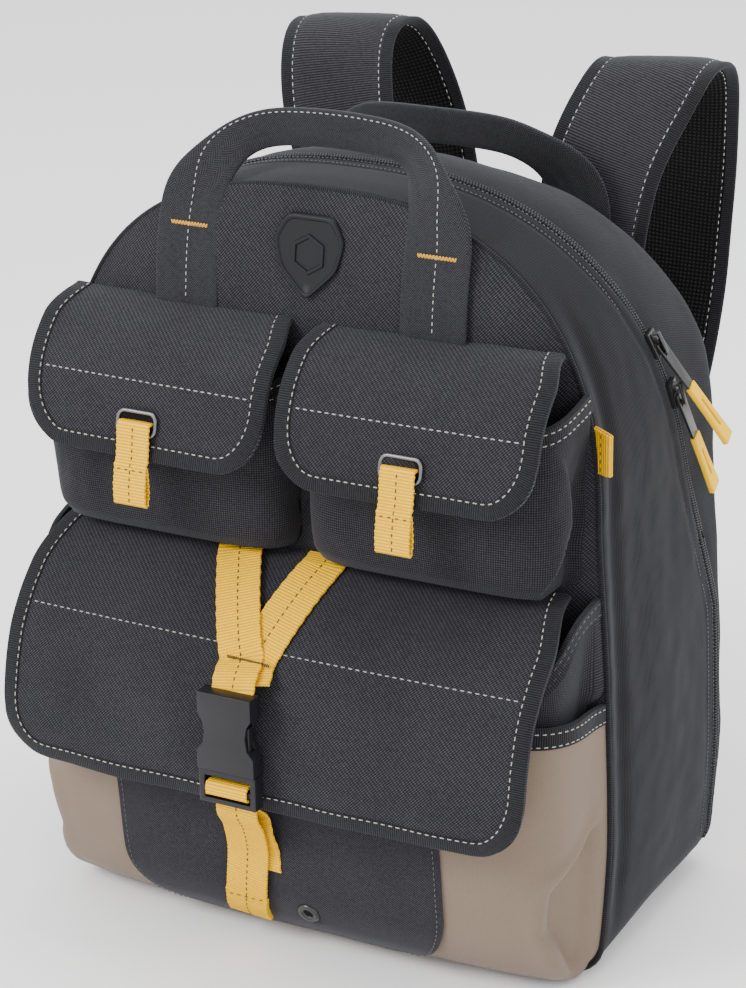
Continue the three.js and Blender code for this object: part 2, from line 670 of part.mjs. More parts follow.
// A rounded rectangle as a closed path, in the plane of the shape.
function roundedRect(path, width, height, corner) {
  const x = width / 2;
  const y = height / 2;
  path.moveTo(-x + corner, -y);
  path.lineTo(x - corner, -y);
  path.absarc(x - corner, -y + corner, corner, -Math.PI / 2, 0, false);
  path.lineTo(x, y - corner);
  path.absarc(x - corner, y - corner, corner, 0, Math.PI / 2, false);
  path.lineTo(-x + corner, y);
  path.absarc(-x + corner, y - corner, corner, Math.PI / 2, Math.PI, false);
  path.lineTo(-x, -y + corner);
  path.absarc(-x + corner, -y + corner, corner, Math.PI, Math.PI * 1.5, false);
  return path;
}

// A flat shape drawn in X and Z, with its thickness running forward from y.
function frontPlate(shape, depth, x, y, z, curveSegments = 4) {
  const plate = new THREE.ExtrudeGeometry(shape, { depth, bevelEnabled: false, curveSegments });
  return plate.rotateX(Math.PI / 2).translate(x, y, z);
}

// Stations of webbing that runs down the front: each has a depth, a height, a thickness and a side offset.
function frontStations(route, middle, width) {
  const points = route.map(({ y, z, x = middle }) => vec(x, y, z));
  return route.map(({ thickness }, i) => {
    const before = points[Math.max(i - 1, 0)];
    const after = points[Math.min(i + 1, route.length - 1)];
    const run = after.clone().sub(before).normalize();
    const across = vec(1, 0, 0).addScaledVector(run, -run.x).normalize();
    return { at: points[i], across, face: run.clone().cross(across).normalize(), width, thickness };
  });
}

for (const [side, sign] of [["left", -1], ["right", 1]]) {
  const flap = UPPER_FLAPS[side];
  const middle = sign * (upperCentre - 1.5);
  const inner = [EYELET_FRAME.width, EYELET_FRAME.height].map((size) => size - 2 * EYELET_FRAME.wire);
  const corner = EYELET_FRAME.corner - EYELET_FRAME.wire;
  const slot = roundedRect(new THREE.Shape(), ...inner, corner);
  const slotTool = frontPlate(slot, 100, middle, SEAM_Y - 20, EYELET_FRAME.middle);
  const solid = toSolid(flapSolid(flap)).subtract(BODY_CUTTER).subtract(toSolid(slotTool));
  addPiece(`upper_flap_${side}`, fromSolid(solid), COLOURS.black);

  // The wire eyelet leans with the flap's front.
  const faceAt = (z) => flapAt(flap, flapRow(flap, (flap.top - z) / flap.drop), middle).y;
  const lean = Math.atan2(faceAt(EYELET_FRAME.middle + 8) - faceAt(EYELET_FRAME.middle - 8), 16);
  const face = faceAt(EYELET_FRAME.middle) - CLEARANCE - 0.3;
  const rim = roundedRect(new THREE.Shape(), EYELET_FRAME.width, EYELET_FRAME.height, EYELET_FRAME.corner);
  rim.holes.push(roundedRect(new THREE.Path(), ...inner, corner));
  const frame = frontPlate(rim, EYELET_FRAME.wire, 0, 0, 0).rotateX(-lean);
  addPiece(`flap_eyelet_${side}`, frame.translate(middle, face, EYELET_FRAME.middle), COLOURS.metal);

  // The yellow pull comes out of the eyelet's slot and hangs over the flap, folded double below its step.
  const hang = face - EYELET_FRAME.wire - LOOP_WEB.thickness / 2 - 2.6;
  const thin = LOOP_WEB.thickness;
  const route = [
    { y: face + 6, z: LOOP_DROP.top, thickness: thin },
    { y: hang + 1.8, z: LOOP_DROP.top - 0.4, thickness: thin },
    { y: hang, z: LOOP_DROP.top - 4, thickness: thin },
    { y: mix(hang, -LOOP_DROP.outward, 0.4), z: LOOP_DROP.step + 1, thickness: thin },
    { y: mix(hang, -LOOP_DROP.outward, 0.45), z: LOOP_DROP.step - 1, thickness: thin * 2.4 },
    { y: -LOOP_DROP.outward, z: LOOP_DROP.bottom, thickness: thin * 2.4 },
  ];
  addPiece(`pull_loop_${side}`, ribbon(frontStations(route, middle, LOOP_WEB.width)), COLOURS.yellow);
}

addPiece("large_flap", cut(flapSolid(largeFlap), BODY_CUTTER), COLOURS.black);

// Yoke: two yellow straps from the top of the large flap, tacked together and on to the buckle.
// Shares of the flap's drop where the straps start and where they are tacked, and their middles there.
const YOKE = { start: 0.035, tack: 0.36, leftTop: -37, rightTop: 13, leftTack: -10, rightTack: -3 };
const YOKE_LIFT = 0.7;
const BUCKLE_BACK_Y = -LARGE_FLAP.front - 1.4;
function yokeStrap(topX, tackX, lift, tail) {
  const drops = [YOKE.start, 0.085, 0.14, 0.185, 0.25, 0.3, YOKE.tack];
  const lane = (at, middle, slant) =>
    [-0.5, 0, 0.5].map((side) => at(middle + side * YELLOW_WEB.width * slant));
  const grid = drops.map((drop) => {
    const down = clamp01((drop - YOKE.start) / (YOKE.tack - YOKE.start));
    const slant = mix(1.14, 1, down);
    return lane((x) => flapAt(largeFlap, flapRow(largeFlap, drop), x), mix(topX, tackX, down ** 0.85), slant);
  });
  grid.push(...tail.map(({ x, y, z }) => lane((at) => vec(at, y + lift, z), x, 1)));
  const normals = gridNormals(grid, FLAP_OUT);
  return sheetSolid(shiftGrid(grid, normals, lift + YELLOW_WEB.thickness), shiftGrid(grid, normals, lift));
}
const behindBuckle = BUCKLE_BACK_Y + CLEARANCE + YELLOW_WEB.thickness;
const RIGHT_TAIL = [{ x: -1, y: behindBuckle + 6, z: 172 }];
const LEFT_TAIL = [
  { x: -8, y: behindBuckle + 3.5, z: 175 },
  { x: BUCKLE.middle, y: behindBuckle + 0.6, z: 168 },
  { x: BUCKLE.middle, y: behindBuckle + 0.6, z: 163 },
];
addPiece("yoke_strap_right", yokeStrap(YOKE.rightTop, YOKE.rightTack, YOKE_LIFT, RIGHT_TAIL), COLOURS.yellow);
const upperLift = YOKE_LIFT + YELLOW_WEB.thickness + 0.5;
addPiece("yoke_strap_left", yokeStrap(YOKE.leftTop, YOKE.leftTack, upperLift, LEFT_TAIL), COLOURS.yellow);

// Side release buckle, closed. Its back lies just clear of the flap.
const BUCKLE_INNER = { width: 28, thickness: 5.4 };
const BUCKLE_LOW = BUCKLE.top - BUCKLE.height;
const BUCKLE_MIDDLE_Y = BUCKLE_BACK_Y - BUCKLE.thickness / 2;

// The socket's half outline: shares of its height and half width, from the bottom up.
const SOCKET_TABLE = [
  { height: 0, width: 1 },
  { height: 0.24, width: 1 },
  { height: 0.34, width: 0.78 },
  { height: 0.5, width: 0.72 },
  { height: 0.64, width: 0.78 },
  { height: 0.74, width: 0.94 },
  { height: 1, width: 0.94 },
];
function buckleSocket() {
  const right = SOCKET_TABLE.map((row) => [
    (row.width * BUCKLE.width) / 2,
    BUCKLE_LOW + row.height * BUCKLE.height,
  ]);
  const shape = new THREE.Shape();
  shape.moveTo(...right[0]);
  right.slice(1).forEach(([x, z]) => shape.lineTo(x, z));
  right.toReversed().forEach(([x, z]) => shape.lineTo(-x, z));
  shape.closePath();
  const block = toSolid(frontPlate(shape, BUCKLE.thickness, BUCKLE.middle, BUCKLE_BACK_Y, 0));
  const cavityTall = BUCKLE.height * 0.68;
  const cavity = box(BUCKLE_INNER.width, BUCKLE_INNER.thickness, cavityTall + 2);
  cavity.translate(BUCKLE.middle, BUCKLE_MIDDLE_Y, BUCKLE_LOW + cavityTall / 2 - 1);
  const slot = box(
    BUCKLE_INNER.width, BUCKLE.thickness, 3.6,
    BUCKLE.middle, BUCKLE_MIDDLE_Y + 3, BUCKLE.top - 5,
  );
  return fromSolid(block.subtract(toSolid(cavity)).subtract(toSolid(slot)));
}

// The plug: two prongs and a tongue in the socket, and below it a frame with two slots.
const PLUG = { slotLow: [2.6, 7], slotHigh: [10, 15.6], side: 3.2, thickness: 8 };
const PLUG_BOTTOM = BUCKLE_LOW - CLEARANCE - BUCKLE.frame;
function bucklePlug() {
  const half = BUCKLE.width / 2;
  const plate = box(BUCKLE.width, PLUG.thickness, BUCKLE.frame);
  plate.translate(BUCKLE.middle, BUCKLE_MIDDLE_Y, PLUG_BOTTOM + BUCKLE.frame / 2);
  const slots = [PLUG.slotLow, PLUG.slotHigh].map(([from, to]) =>
    toSolid(
      box(
        BUCKLE.width - 2 * PLUG.side, PLUG.thickness * 2, to - from,
        BUCKLE.middle, BUCKLE_MIDDLE_Y, PLUG_BOTTOM + (from + to) / 2,
      ),
    ),
  );
  const armTall = BUCKLE.height * 0.62;
  const arms = [-1, 1].map((sign) =>
    toSolid(
      box(
        5, 4.6, armTall + 2,
        BUCKLE.middle + sign * (BUCKLE_INNER.width / 2 - 3.2), BUCKLE_MIDDLE_Y, BUCKLE_LOW + armTall / 2 - 1,
      ),
    ),
  );
  const tongue = toSolid(box(8, 4.6, 20, BUCKLE.middle, BUCKLE_MIDDLE_Y, BUCKLE_LOW + 8));
  const solid = slots.reduce((frame, slot) => frame.subtract(slot), toSolid(plate));
  return fromSolid([...arms, tongue].reduce((sum, piece) => sum.add(piece), solid));
}
addPiece("buckle_socket", buckleSocket(), COLOURS.plastic);
addPiece("buckle_plug", bucklePlug(), COLOURS.plastic);

// The yellow strap that holds the plug: over its middle bar, down behind it and to the bag's base.
const panelFaceY = (z) => wrapFrontY(z) - CENTRE_PANEL.thickness - 2 * CLEARANCE;
function frontStrap() {
  const web = YELLOW_WEB.thickness;
  const off = CLEARANCE + web / 2;
  const back = BUCKLE_MIDDLE_Y + PLUG.thickness / 2;
  const front = BUCKLE_MIDDLE_Y - PLUG.thickness / 2;
  const bar = PLUG_BOTTOM + (PLUG.slotLow[1] + PLUG.slotHigh[0]) / 2;
  const barHalf = (PLUG.slotHigh[0] - PLUG.slotLow[1]) / 2;
  const x = BUCKLE.middle;
  const onPanel = (z) => panelFaceY(z) - web / 2 - 3;
  const thickness = web;
  const route = [
    { x: -24, y: onPanel(17), z: 17, thickness: web * 1.8 },
    { x: -23.6, y: onPanel(34), z: 34, thickness: web * 1.8 },
    { x: -23, y: onPanel(38), z: 38, thickness },
    { x: -19, y: onPanel(62), z: 62, thickness },
    { x: -12, y: onPanel(84) - 10, z: 84, thickness },
    { x: -7, y: back + off + 0.5, z: 101, thickness },
    { x, y: back + off, z: bar - 1, thickness },
    { x, y: back + off + 0.15, z: bar + barHalf, thickness },
    { x, y: back - 0.8, z: bar + barHalf + off + 1, thickness },
    { x, y: front + 0.8, z: bar + barHalf + off + 1, thickness },
    { x, y: front - off, z: bar + barHalf, thickness },
    { x, y: front - off, z: bar - barHalf - 0.8, thickness },
    { x, y: front + 1.6, z: bar - barHalf - off - 1.2, thickness },
  ];
  return ribbon(frontStations(route, x, YELLOW_WEB.width));
}
addPiece("front_strap", frontStrap(), COLOURS.yellow);

// Drain eyelet on the centre panel.
const EYELET_PLACE = { x: 16, z: 30 };
function drainEyelet() {
  const ring = new THREE.Shape().absarc(0, 0, EYELET.outer, 0, Math.PI * 2, false);
  ring.holes.push(new THREE.Path().absarc(0, 0, EYELET.inner, 0, Math.PI * 2, true));
  const slope = Math.atan2(panelFaceY(EYELET_PLACE.z + 6) - panelFaceY(EYELET_PLACE.z - 6), 12);
  const options = { depth: EYELET.thickness, bevelEnabled: false, curveSegments: 8 };
  const plate = new THREE.ExtrudeGeometry(ring, options);
  plate.rotateX(Math.PI / 2 - slope);
  return plate.translate(EYELET_PLACE.x, panelFaceY(EYELET_PLACE.z) - 0.7, EYELET_PLACE.z);
}
addPiece("drain_eyelet", drainEyelet(), COLOURS.plastic);

// A blank rubber patch with a raised rim, on the front panel between the handle's feet.
function badge() {
  const half = BADGE.width / 2;
  const tall = BADGE.height / 2;
  const shape = new THREE.Shape();
  shape.moveTo(0, -tall);
  shape.lineTo(half * 0.82, -tall * 0.25);
  shape.lineTo(half, tall * 0.45);
  shape.lineTo(half * 0.66, tall);
  shape.lineTo(-half * 0.66, tall);
  shape.lineTo(-half, tall * 0.45);
  shape.lineTo(-half * 0.82, -tall * 0.25);
  shape.closePath();
  const low = BADGE.middle - tall * 0.7;
  const high = BADGE.middle + tall * 0.7;
  const slope = Math.atan2(panelY(0, high) - panelY(0, low), high - low);
  const raw = new THREE.ExtrudeGeometry(shape, { depth: BADGE.thickness + 6, bevelEnabled: false });
  raw.rotateX(Math.PI / 2 - slope);
  const depthAt = (s) => panelY(0, BADGE.middle + s * tall) - Math.tan(slope) * s * tall;
  const deepest = Math.min(...[-1, -0.5, 0, 0.5, 1].map(depthAt));
  raw.translate(0, deepest + 6 - CLEARANCE, BADGE.middle);
  return cut(raw, BODY_CUTTER);
}
addPiece("badge", badge(), COLOURS.plastic);

// Handles: webbing sewn flat at its feet and folded in half for the grip.
// Columns are the side offset as a share of the foot's, depth, height, and 0 at full width to 1 when folded.
function handle(rows) {
  const half = rows.map(({ side, y, z, fold }) => ({ at: vec(HANDLE.footX * side, y, z), fold }));
  const mirrored = half
    .slice(0, -1)
    .map(({ at, fold }) => ({ at: vec(-at.x, at.y, at.z), fold }))
    .reverse();
  const { stations } = stationsAlong([...half, ...mirrored], 40, (a, b, t, tangent) => {
    const across = tangent.clone().cross(vec(0, -1, 0)).normalize();
    const fold = mix(a.fold, b.fold, t);
    return {
      across,
      face: tangent.clone().cross(across).normalize(),
      width: mix(HANDLE.width, HANDLE.grip, fold),
      thickness: mix(HANDLE.thickness, HANDLE.gripThickness, fold),
    };
  });
  return ribbon(stations, [-1, 1]);
}

const onFront = (z) => panelY(HANDLE.footX, z) - CLEARANCE - HANDLE.thickness / 2 - 0.4;
const FRONT_HANDLE_ROWS = [
  { side: 1, y: onFront(UPPER_FLAP.top + 3), z: UPPER_FLAP.top + 3, fold: 0 },
  { side: 1, y: onFront(BODY_HEIGHT * 0.8810), z: BODY_HEIGHT * 0.8810, fold: 0 },
  { side: 1, y: onFront(BODY_HEIGHT * 0.9238), z: BODY_HEIGHT * 0.9238, fold: 0 },
  { side: 1, y: BODY_DEPTH * -0.535, z: BODY_HEIGHT * 0.9571, fold: 0 },
  { side: 0.95, y: BODY_DEPTH * -0.525, z: BODY_HEIGHT * 0.9833, fold: 0.25 },
  { side: 0.86, y: BODY_DEPTH * -0.487, z: BODY_HEIGHT * 1.0095, fold: 0.65 },
  { side: 0.75, y: BODY_DEPTH * -0.430, z: BODY_HEIGHT * 1.0333, fold: 0.95 },
  { side: 0.58, y: BODY_DEPTH * -0.386, z: BODY_HEIGHT * 1.0476, fold: 1 },
  { side: 0.34, y: BODY_DEPTH * -0.373, z: BODY_HEIGHT * 1.0536, fold: 1 },
  { side: 0, y: BODY_DEPTH * -0.373, z: BODY_HEIGHT * 1.0560, fold: 1 },
];
addPiece("front_handle", cut(handle(FRONT_HANDLE_ROWS), BODY_CUTTER), COLOURS.webbing);

const onRear = REAR_Y + CLEARANCE + HANDLE.thickness / 2 + 0.3;
const REAR_HANDLE_ROWS = [
  { side: 1, y: onRear, z: BODY_HEIGHT * 0.8048, fold: 0 },
  { side: 1, y: onRear, z: BODY_HEIGHT * 0.8619, fold: 0 },
  { side: 1, y: onRear + 1.5, z: BODY_HEIGHT * 0.8952, fold: 0.05 },
  { side: 0.97, y: BODY_DEPTH * 0.506, z: BODY_HEIGHT * 0.9262, fold: 0.2 },
  { side: 0.88, y: BODY_DEPTH * 0.456, z: BODY_HEIGHT * 0.9571, fold: 0.6 },
  { side: 0.74, y: BODY_DEPTH * 0.386, z: BODY_HEIGHT * 0.9810, fold: 0.95 },
  { side: 0.56, y: BODY_DEPTH * 0.335, z: BODY_HEIGHT * 0.9976, fold: 1 },
  { side: 0.28, y: BODY_DEPTH * 0.304, z: BODY_HEIGHT * 1.0036, fold: 1 },
  { side: 0, y: BODY_DEPTH * 0.291, z: BODY_HEIGHT * 1.0048, fold: 1 },
];
addPiece("rear_handle", handle(REAR_HANDLE_ROWS), COLOURS.webbing);

// Back pad on the flat back panel.
function backPad() {
  const rim = bodyLoop(REAR_Y);
  const ring = (scale, y) =>
    rim.map((p) => vec(p.x * scale, y, mix(PANEL_MIDDLE_Z, p.z, scale)));
  const near = REAR_Y + CLEARANCE;
  const loops = [
    ring(0.4 * BACK_PAD.scale, near),
    ring(BACK_PAD.scale, near),
    ring(BACK_PAD.scale, near + BACK_PAD.thickness * 0.45),
    ring(BACK_PAD.scale * 0.95, near + BACK_PAD.thickness),
    ring(0.4 * BACK_PAD.scale, near + BACK_PAD.thickness),
  ];
  return loopSolid(loops);
}
addPiece("back_pad", backPad(), COLOURS.mesh);

// Shoulder straps: the middle line of the right one, from its foot on the back panel, over and down.
// Places are shares of the body's half width, depth and height. The turn is how far the strap's width
// is turned about Z, in degrees, and the taper its share of full width.
const STRAP_FOOT_Y = REAR_Y + HANDLE.thickness + 2 * CLEARANCE + SHOULDER.thickness / 2 + 2.6;
const STRAP_SHARES = [
  { x: 0.440, y: STRAP_FOOT_Y / BODY_DEPTH, z: 0.8048, turn: 0, taper: 0.95 },
  { x: 0.446, y: (STRAP_FOOT_Y + 0.5) / BODY_DEPTH, z: 0.8571, turn: 2, taper: 1 },
  { x: 0.476, y: 0.589, z: 0.9381, turn: 10, taper: 1 },
  { x: 0.536, y: 0.684, z: 1.0143, turn: 17, taper: 1 },
  { x: 0.577, y: 0.823, z: 1.0619, turn: 21, taper: 1 },
  { x: 0.577, y: 1.013, z: 1.0500, turn: 20, taper: 1 },
  { x: 0.536, y: 1.152, z: 0.9810, turn: 14, taper: 1 },
  { x: 0.500, y: 1.253, z: 0.8762, turn: 6, taper: 1 },
  { x: 0.476, y: 1.291, z: 0.7667, turn: 0, taper: 1 },
  { x: 0.476, y: 1.203, z: 0.6571, turn: 0, taper: 1 },
  { x: 0.488, y: 1.032, z: 0.5476, turn: 0, taper: 0.95 },
  { x: 0.524, y: 0.835, z: 0.4524, turn: 0, taper: 0.8 },
  { x: 0.583, y: 0.709, z: 0.3952, turn: 0, taper: 0.6 },
  { x: 0.619, y: 0.671, z: 0.3571, turn: 0, taper: 0.5 },
];
const STRAP_ROUTE = STRAP_SHARES.map(({ x, y, z, turn, taper }) => ({
  x: (x * BODY_WIDTH) / 2, y: y * BODY_DEPTH, z: z * BODY_HEIGHT, turn, taper,
}));
// The left strap stands a little higher and further out, as it fell.
const STRAP_SIDES = { left: { sign: -1, rise: 7, out: 4 }, right: { sign: 1, rise: 0, out: 0 } };
const STRAP_FREE_Z = 360;

function shoulderStrap({ sign, rise, out }) {
  const free = (row) => clamp01((row.z - STRAP_FREE_Z) / (BODY_HEIGHT - STRAP_FREE_Z));
  const points = STRAP_ROUTE.map((row) => ({
    at: vec(sign * (row.x + out * free(row)), row.y, row.z + rise * free(row)),
    turn: row.turn,
    taper: row.taper,
  }));
  const { stations } = stationsAlong(points, 26, (a, b, t, tangent) => {
    const turn = radians(mix(a.turn, b.turn, t));
    const across = vec(Math.cos(turn), Math.sin(turn), 0);
    across.addScaledVector(tangent, -across.dot(tangent)).normalize();
    return {
      across,
      face: tangent.clone().cross(across).normalize(),
      width: SHOULDER.width * mix(a.taper, b.taper, t),
      thickness: SHOULDER.thickness,
    };
  });
  return ribbon(stations, [-1, -0.8, 0.8, 1], 0.5);
}

// Below each shoulder strap: a webbing tail from the strap's end down to the bag's lower rear corner.
const TAIL_FOOT = { x: 126, y: REAR_Y + CLEARANCE + STRAP_WEB.thickness / 2 + 0.2, z: 58 };
const LOCK = { width: 33, height: 24, thickness: 4 };
for (const [side, hang] of Object.entries(STRAP_SIDES)) {
  const sign = hang.sign;
  addPiece(`shoulder_strap_${side}`, shoulderStrap(hang), COLOURS.black);
  const end = STRAP_ROUTE[STRAP_ROUTE.length - 1];
  const endX = sign * end.x;
  const lockTop = end.z - 7;
  const lock = roundedRect(new THREE.Shape(), LOCK.width, LOCK.height, 3);
  for (const offset of [-6, 6]) {
    const slot = new THREE.Path();
    slot.moveTo(-LOCK.width / 2 + 3.5, offset - 2.4);
    slot.lineTo(-LOCK.width / 2 + 3.5, offset + 2.4);
    slot.lineTo(LOCK.width / 2 - 3.5, offset + 2.4);
    slot.lineTo(LOCK.width / 2 - 3.5, offset - 2.4);
    slot.closePath();
    lock.holes.push(slot);
  }
  const lockY = end.y + LOCK.thickness / 2;
  const lockPlate = frontPlate(lock, LOCK.thickness, endX, lockY, lockTop - LOCK.height / 2);
  addPiece(`ladder_lock_${side}`, lockPlate, COLOURS.plastic);
  const behind = end.y - LOCK.thickness / 2 - CLEARANCE - STRAP_WEB.thickness / 2 - 1;
  const thickness = STRAP_WEB.thickness;
  const footX = sign * TAIL_FOOT.x;
  const route = [
    { x: endX, y: behind, z: lockTop - 5, thickness },
    { x: endX, y: behind, z: lockTop - LOCK.height - 2, thickness },
    { x: mix(endX, footX, 0.4), y: mix(behind, TAIL_FOOT.y, 0.45), z: 106, thickness },
    { x: mix(endX, footX, 0.75), y: mix(behind, TAIL_FOOT.y, 0.86), z: 90, thickness },
    { x: mix(endX, footX, 0.92), y: TAIL_FOOT.y, z: 78, thickness },
    { x: footX, y: TAIL_FOOT.y, z: TAIL_FOOT.z, thickness },
  ];
  addPiece(`strap_tail_${side}`, ribbon(frontStations(route, endX, STRAP_WEB.width)), COLOURS.webbing);
}

// Yellow gear loop on the right-hand seam: a flat folded tab that stands out from the bag's edge.
const GEAR_LOOP = { z: 299, height: 24, reach: 13, thickness: 3.4 };
function gearLoop() {
  const place = (z) => vec(outlineHalfWidth(z), SEAM_Y + 3, z);
  const tall = GEAR_LOOP.height / 2;
  const start = place(GEAR_LOOP.z);
  const shape = new THREE.Shape();
  shape.moveTo(-4, -tall);
  shape.lineTo(GEAR_LOOP.reach, -tall + 1);
  shape.lineTo(GEAR_LOOP.reach, tall - 1);
  shape.lineTo(-4, tall);
  shape.closePath();
  const raw = frontPlate(shape, GEAR_LOOP.thickness, 0, 0, 0);
  raw.rotateZ(radians(-30)).translate(start.x, start.y - 1, start.z);
  return cut(raw, BODY_CUTTER);
}
addPiece("gear_loop", gearLoop(), COLOURS.yellow);

export default backpack;
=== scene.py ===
# A tool backpack in black twill and tan canvas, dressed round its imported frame.
# Lengths are millimetres in the frame's own axes: X right seen from the front, Y to the back, Z up.
# The meshes and patterns are scaled to Blender's metres where they are made.
import math

import bmesh
import bpy
import numpy as np
from mathutils import Matrix, Vector, noise


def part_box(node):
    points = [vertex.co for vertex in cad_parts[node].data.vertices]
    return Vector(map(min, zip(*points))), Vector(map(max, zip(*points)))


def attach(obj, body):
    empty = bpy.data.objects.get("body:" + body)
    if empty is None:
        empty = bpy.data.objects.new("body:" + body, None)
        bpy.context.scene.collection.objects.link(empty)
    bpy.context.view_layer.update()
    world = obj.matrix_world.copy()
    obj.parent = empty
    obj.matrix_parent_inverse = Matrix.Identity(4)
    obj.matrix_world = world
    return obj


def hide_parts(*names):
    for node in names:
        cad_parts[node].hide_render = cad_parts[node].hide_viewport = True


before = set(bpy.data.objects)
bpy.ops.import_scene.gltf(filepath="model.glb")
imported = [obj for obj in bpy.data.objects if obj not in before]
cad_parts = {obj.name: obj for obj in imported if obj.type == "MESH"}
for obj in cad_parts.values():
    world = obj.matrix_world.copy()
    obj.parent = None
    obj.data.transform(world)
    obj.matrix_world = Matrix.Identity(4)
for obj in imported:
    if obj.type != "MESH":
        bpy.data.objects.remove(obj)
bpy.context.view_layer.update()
MM = 0.001


# The camera stands a little above the bag and to its right, with a long lens, as the photo was taken.
# It leans by a degree, and the picture's long side is the sensor's width.
CAMERA_PLACE = (767.27, -1415.88, 838.53)
CAMERA_TARGET = (-8.78, -10.37, 224.28)
LENS = 113.1
LEAN = math.radians(-0.98)

lens = bpy.data.cameras.new("camera")
lens.lens = LENS
lens.sensor_width = 36
camera = bpy.data.objects.new("camera", lens)
bpy.context.scene.collection.objects.link(camera)
back = (Vector(CAMERA_PLACE) - Vector(CAMERA_TARGET)).normalized()
level = Vector((0, 0, 1)).cross(back).normalized()
upright = back.cross(level)
right = level * math.cos(LEAN) + upright * math.sin(LEAN)
up = upright * math.cos(LEAN) - level * math.sin(LEAN)
turned = Matrix((right, up, back)).transposed().to_4x4()
camera.matrix_world = Matrix.Translation(Vector(CAMERA_PLACE) * MM) @ turned
bpy.context.scene.camera = camera


# The bag stands on a white sweep of paper under soft boxes: a broad key from the upper left of the
# front, a weaker fill from the right, one light over the top, one behind and a pale surround.
def soft_box(name, place, target, width, watts):
    light = bpy.data.lights.new(name, "AREA")
    light.shape = "DISK"
    light.size = width
    light.energy = watts
    lamp = bpy.data.objects.new(name, light)
    bpy.context.scene.collection.objects.link(lamp)
    lamp.location = place
    lamp.rotation_euler = (Vector(target) - Vector(place)).to_track_quat("-Z", "Y").to_euler()


soft_box("key_light", (-1.1, -1.9, 1.7), (0, 0, 0.2), 1.1, 60)
soft_box("fill_light", (1.9, -1.0, 0.9), (0, 0, 0.2), 1.4, 8)
soft_box("top_light", (0.2, 0.4, 2.2), (0, 0, 0.3), 1.2, 22)
soft_box("rim_light", (1.5, 1.4, 1.4), (0, 0, 0.25), 1.0, 12)

surround = bpy.data.worlds.new("surround")
bpy.context.scene.world = surround
surround.use_nodes = True
surround.node_tree.nodes["Background"].inputs["Color"].default_value = (1, 1, 1, 1)
surround.node_tree.nodes["Background"].inputs["Strength"].default_value = 1.5

paper = bpy.data.materials.new("white_paper")
paper.use_nodes = True
paper.node_tree.nodes["Principled BSDF"].inputs["Base Color"].default_value = (0.97, 0.97, 0.97, 1)
paper.node_tree.nodes["Principled BSDF"].inputs["Roughness"].default_value = 0.85
floor_mesh = bpy.data.meshes.new("floor")
floor_mesh.from_pydata([(-6, -4, 0), (6, -4, 0), (6, 9, 0), (-6, 9, 0)], [], [(0, 1, 2, 3)])
floor_mesh.materials.append(paper)
floor = bpy.data.objects.new("floor", floor_mesh)
bpy.context.scene.collection.objects.link(floor)
floor.location.z = -0.0006


# The main bag: a stuffed front panel and a gusset of black woven cloth, sewn together at a corded seam,
# with a zip round the gusset's back edge. The gusset's cloth is the pockets' plain weave painted darker,
# as painted shade on the sides and back. The sizes are the frame's own, apart from the lower rear
# corners, which the cloth fills out more, and the zip's end, which is lower here.
BODY_WIDTH, BODY_HEIGHT, BODY_DEPTH = 336, 420, 158
SEAM_Y, REAR_Y = -BODY_DEPTH / 2, BODY_DEPTH / 2
PANEL_CROWN = 15
ARCH_START, ARCH_POWER = 252, 2.5
FRONT_CORNER, REAR_CORNER = 20, 30
REAR_EDGE, REAR_BASE = 11, 22
TOP_RIDGE_Y = -20
TOP_FALL = {"front": 5, "rear": 23}
ZIP_REAR_Y, ZIP_BEND_Z, ZIP_SLOPE, ZIP_WIDTH, ZIP_LOWEST = 64, 164, 0.364, 5, 18
SIDE_SHARES = ((0, 0.962), (0.08, 0.985), (0.2, 1), (0.4, 0.985), (0.6, 0.952), (0.7, 0.94))
LOOP_LANES = 300
LOOP_ROWS = 96


def ease(t):
    t = np.clip(t, 0, 1)
    return t * t * (3 - 2 * t)


def through(rows, at):
    """A smooth curve without overshoot through rows of (place, value, ...), read at each place."""
    rows = np.asarray(rows, float)
    x, y = rows[:, 0], rows[:, 1:]
    gap = np.diff(x)[:, None]
    slope = np.diff(y, axis=0) / gap
    turn = slope[:-1] * slope[1:] > 0
    mid = np.where(turn, 2 * slope[:-1] * slope[1:] / np.where(turn, slope[:-1] + slope[1:], 1), 0)
    tangent = np.vstack([slope[:1], mid, slope[-1:]])
    at = np.atleast_1d(np.asarray(at, float))
    i = np.clip(np.searchsorted(x, at) - 1, 0, len(x) - 2)
    t = ((at - x[i]) / gap[i, 0]).clip(0, 1)[:, None]
    h = gap[i]
    return (
        y[i] * (1 + 2 * t) * (1 - t) ** 2
        + tangent[i] * h * t * (1 - t) ** 2
        + y[i + 1] * t * t * (3 - 2 * t)
        + tangent[i + 1] * h * t * t * (t - 1)
    )


def length_along(line):
    """The length of a line up to each of its points."""
    return np.concatenate([[0], np.cumsum(np.linalg.norm(np.diff(line, axis=0), axis=1))])


def unit(rows):
    return rows / np.linalg.norm(rows, axis=1, keepdims=True)


def evenly(points, count, closed=False):
    """The same line with its points an even length apart."""
    points = np.asarray(points, float)
    if closed:
        points = np.vstack([points, points[:1]])
    run = length_along(points)
    at = np.linspace(0, run[-1], count + 1 if closed else count)
    line = np.column_stack([np.interp(at, run, points[:, k]) for k in range(points.shape[1])])
    return line[:-1] if closed else line


def half_width(z):
    return BODY_WIDTH / 2 * through(SIDE_SHARES, np.asarray(z, float) / BODY_HEIGHT)[:, 0]


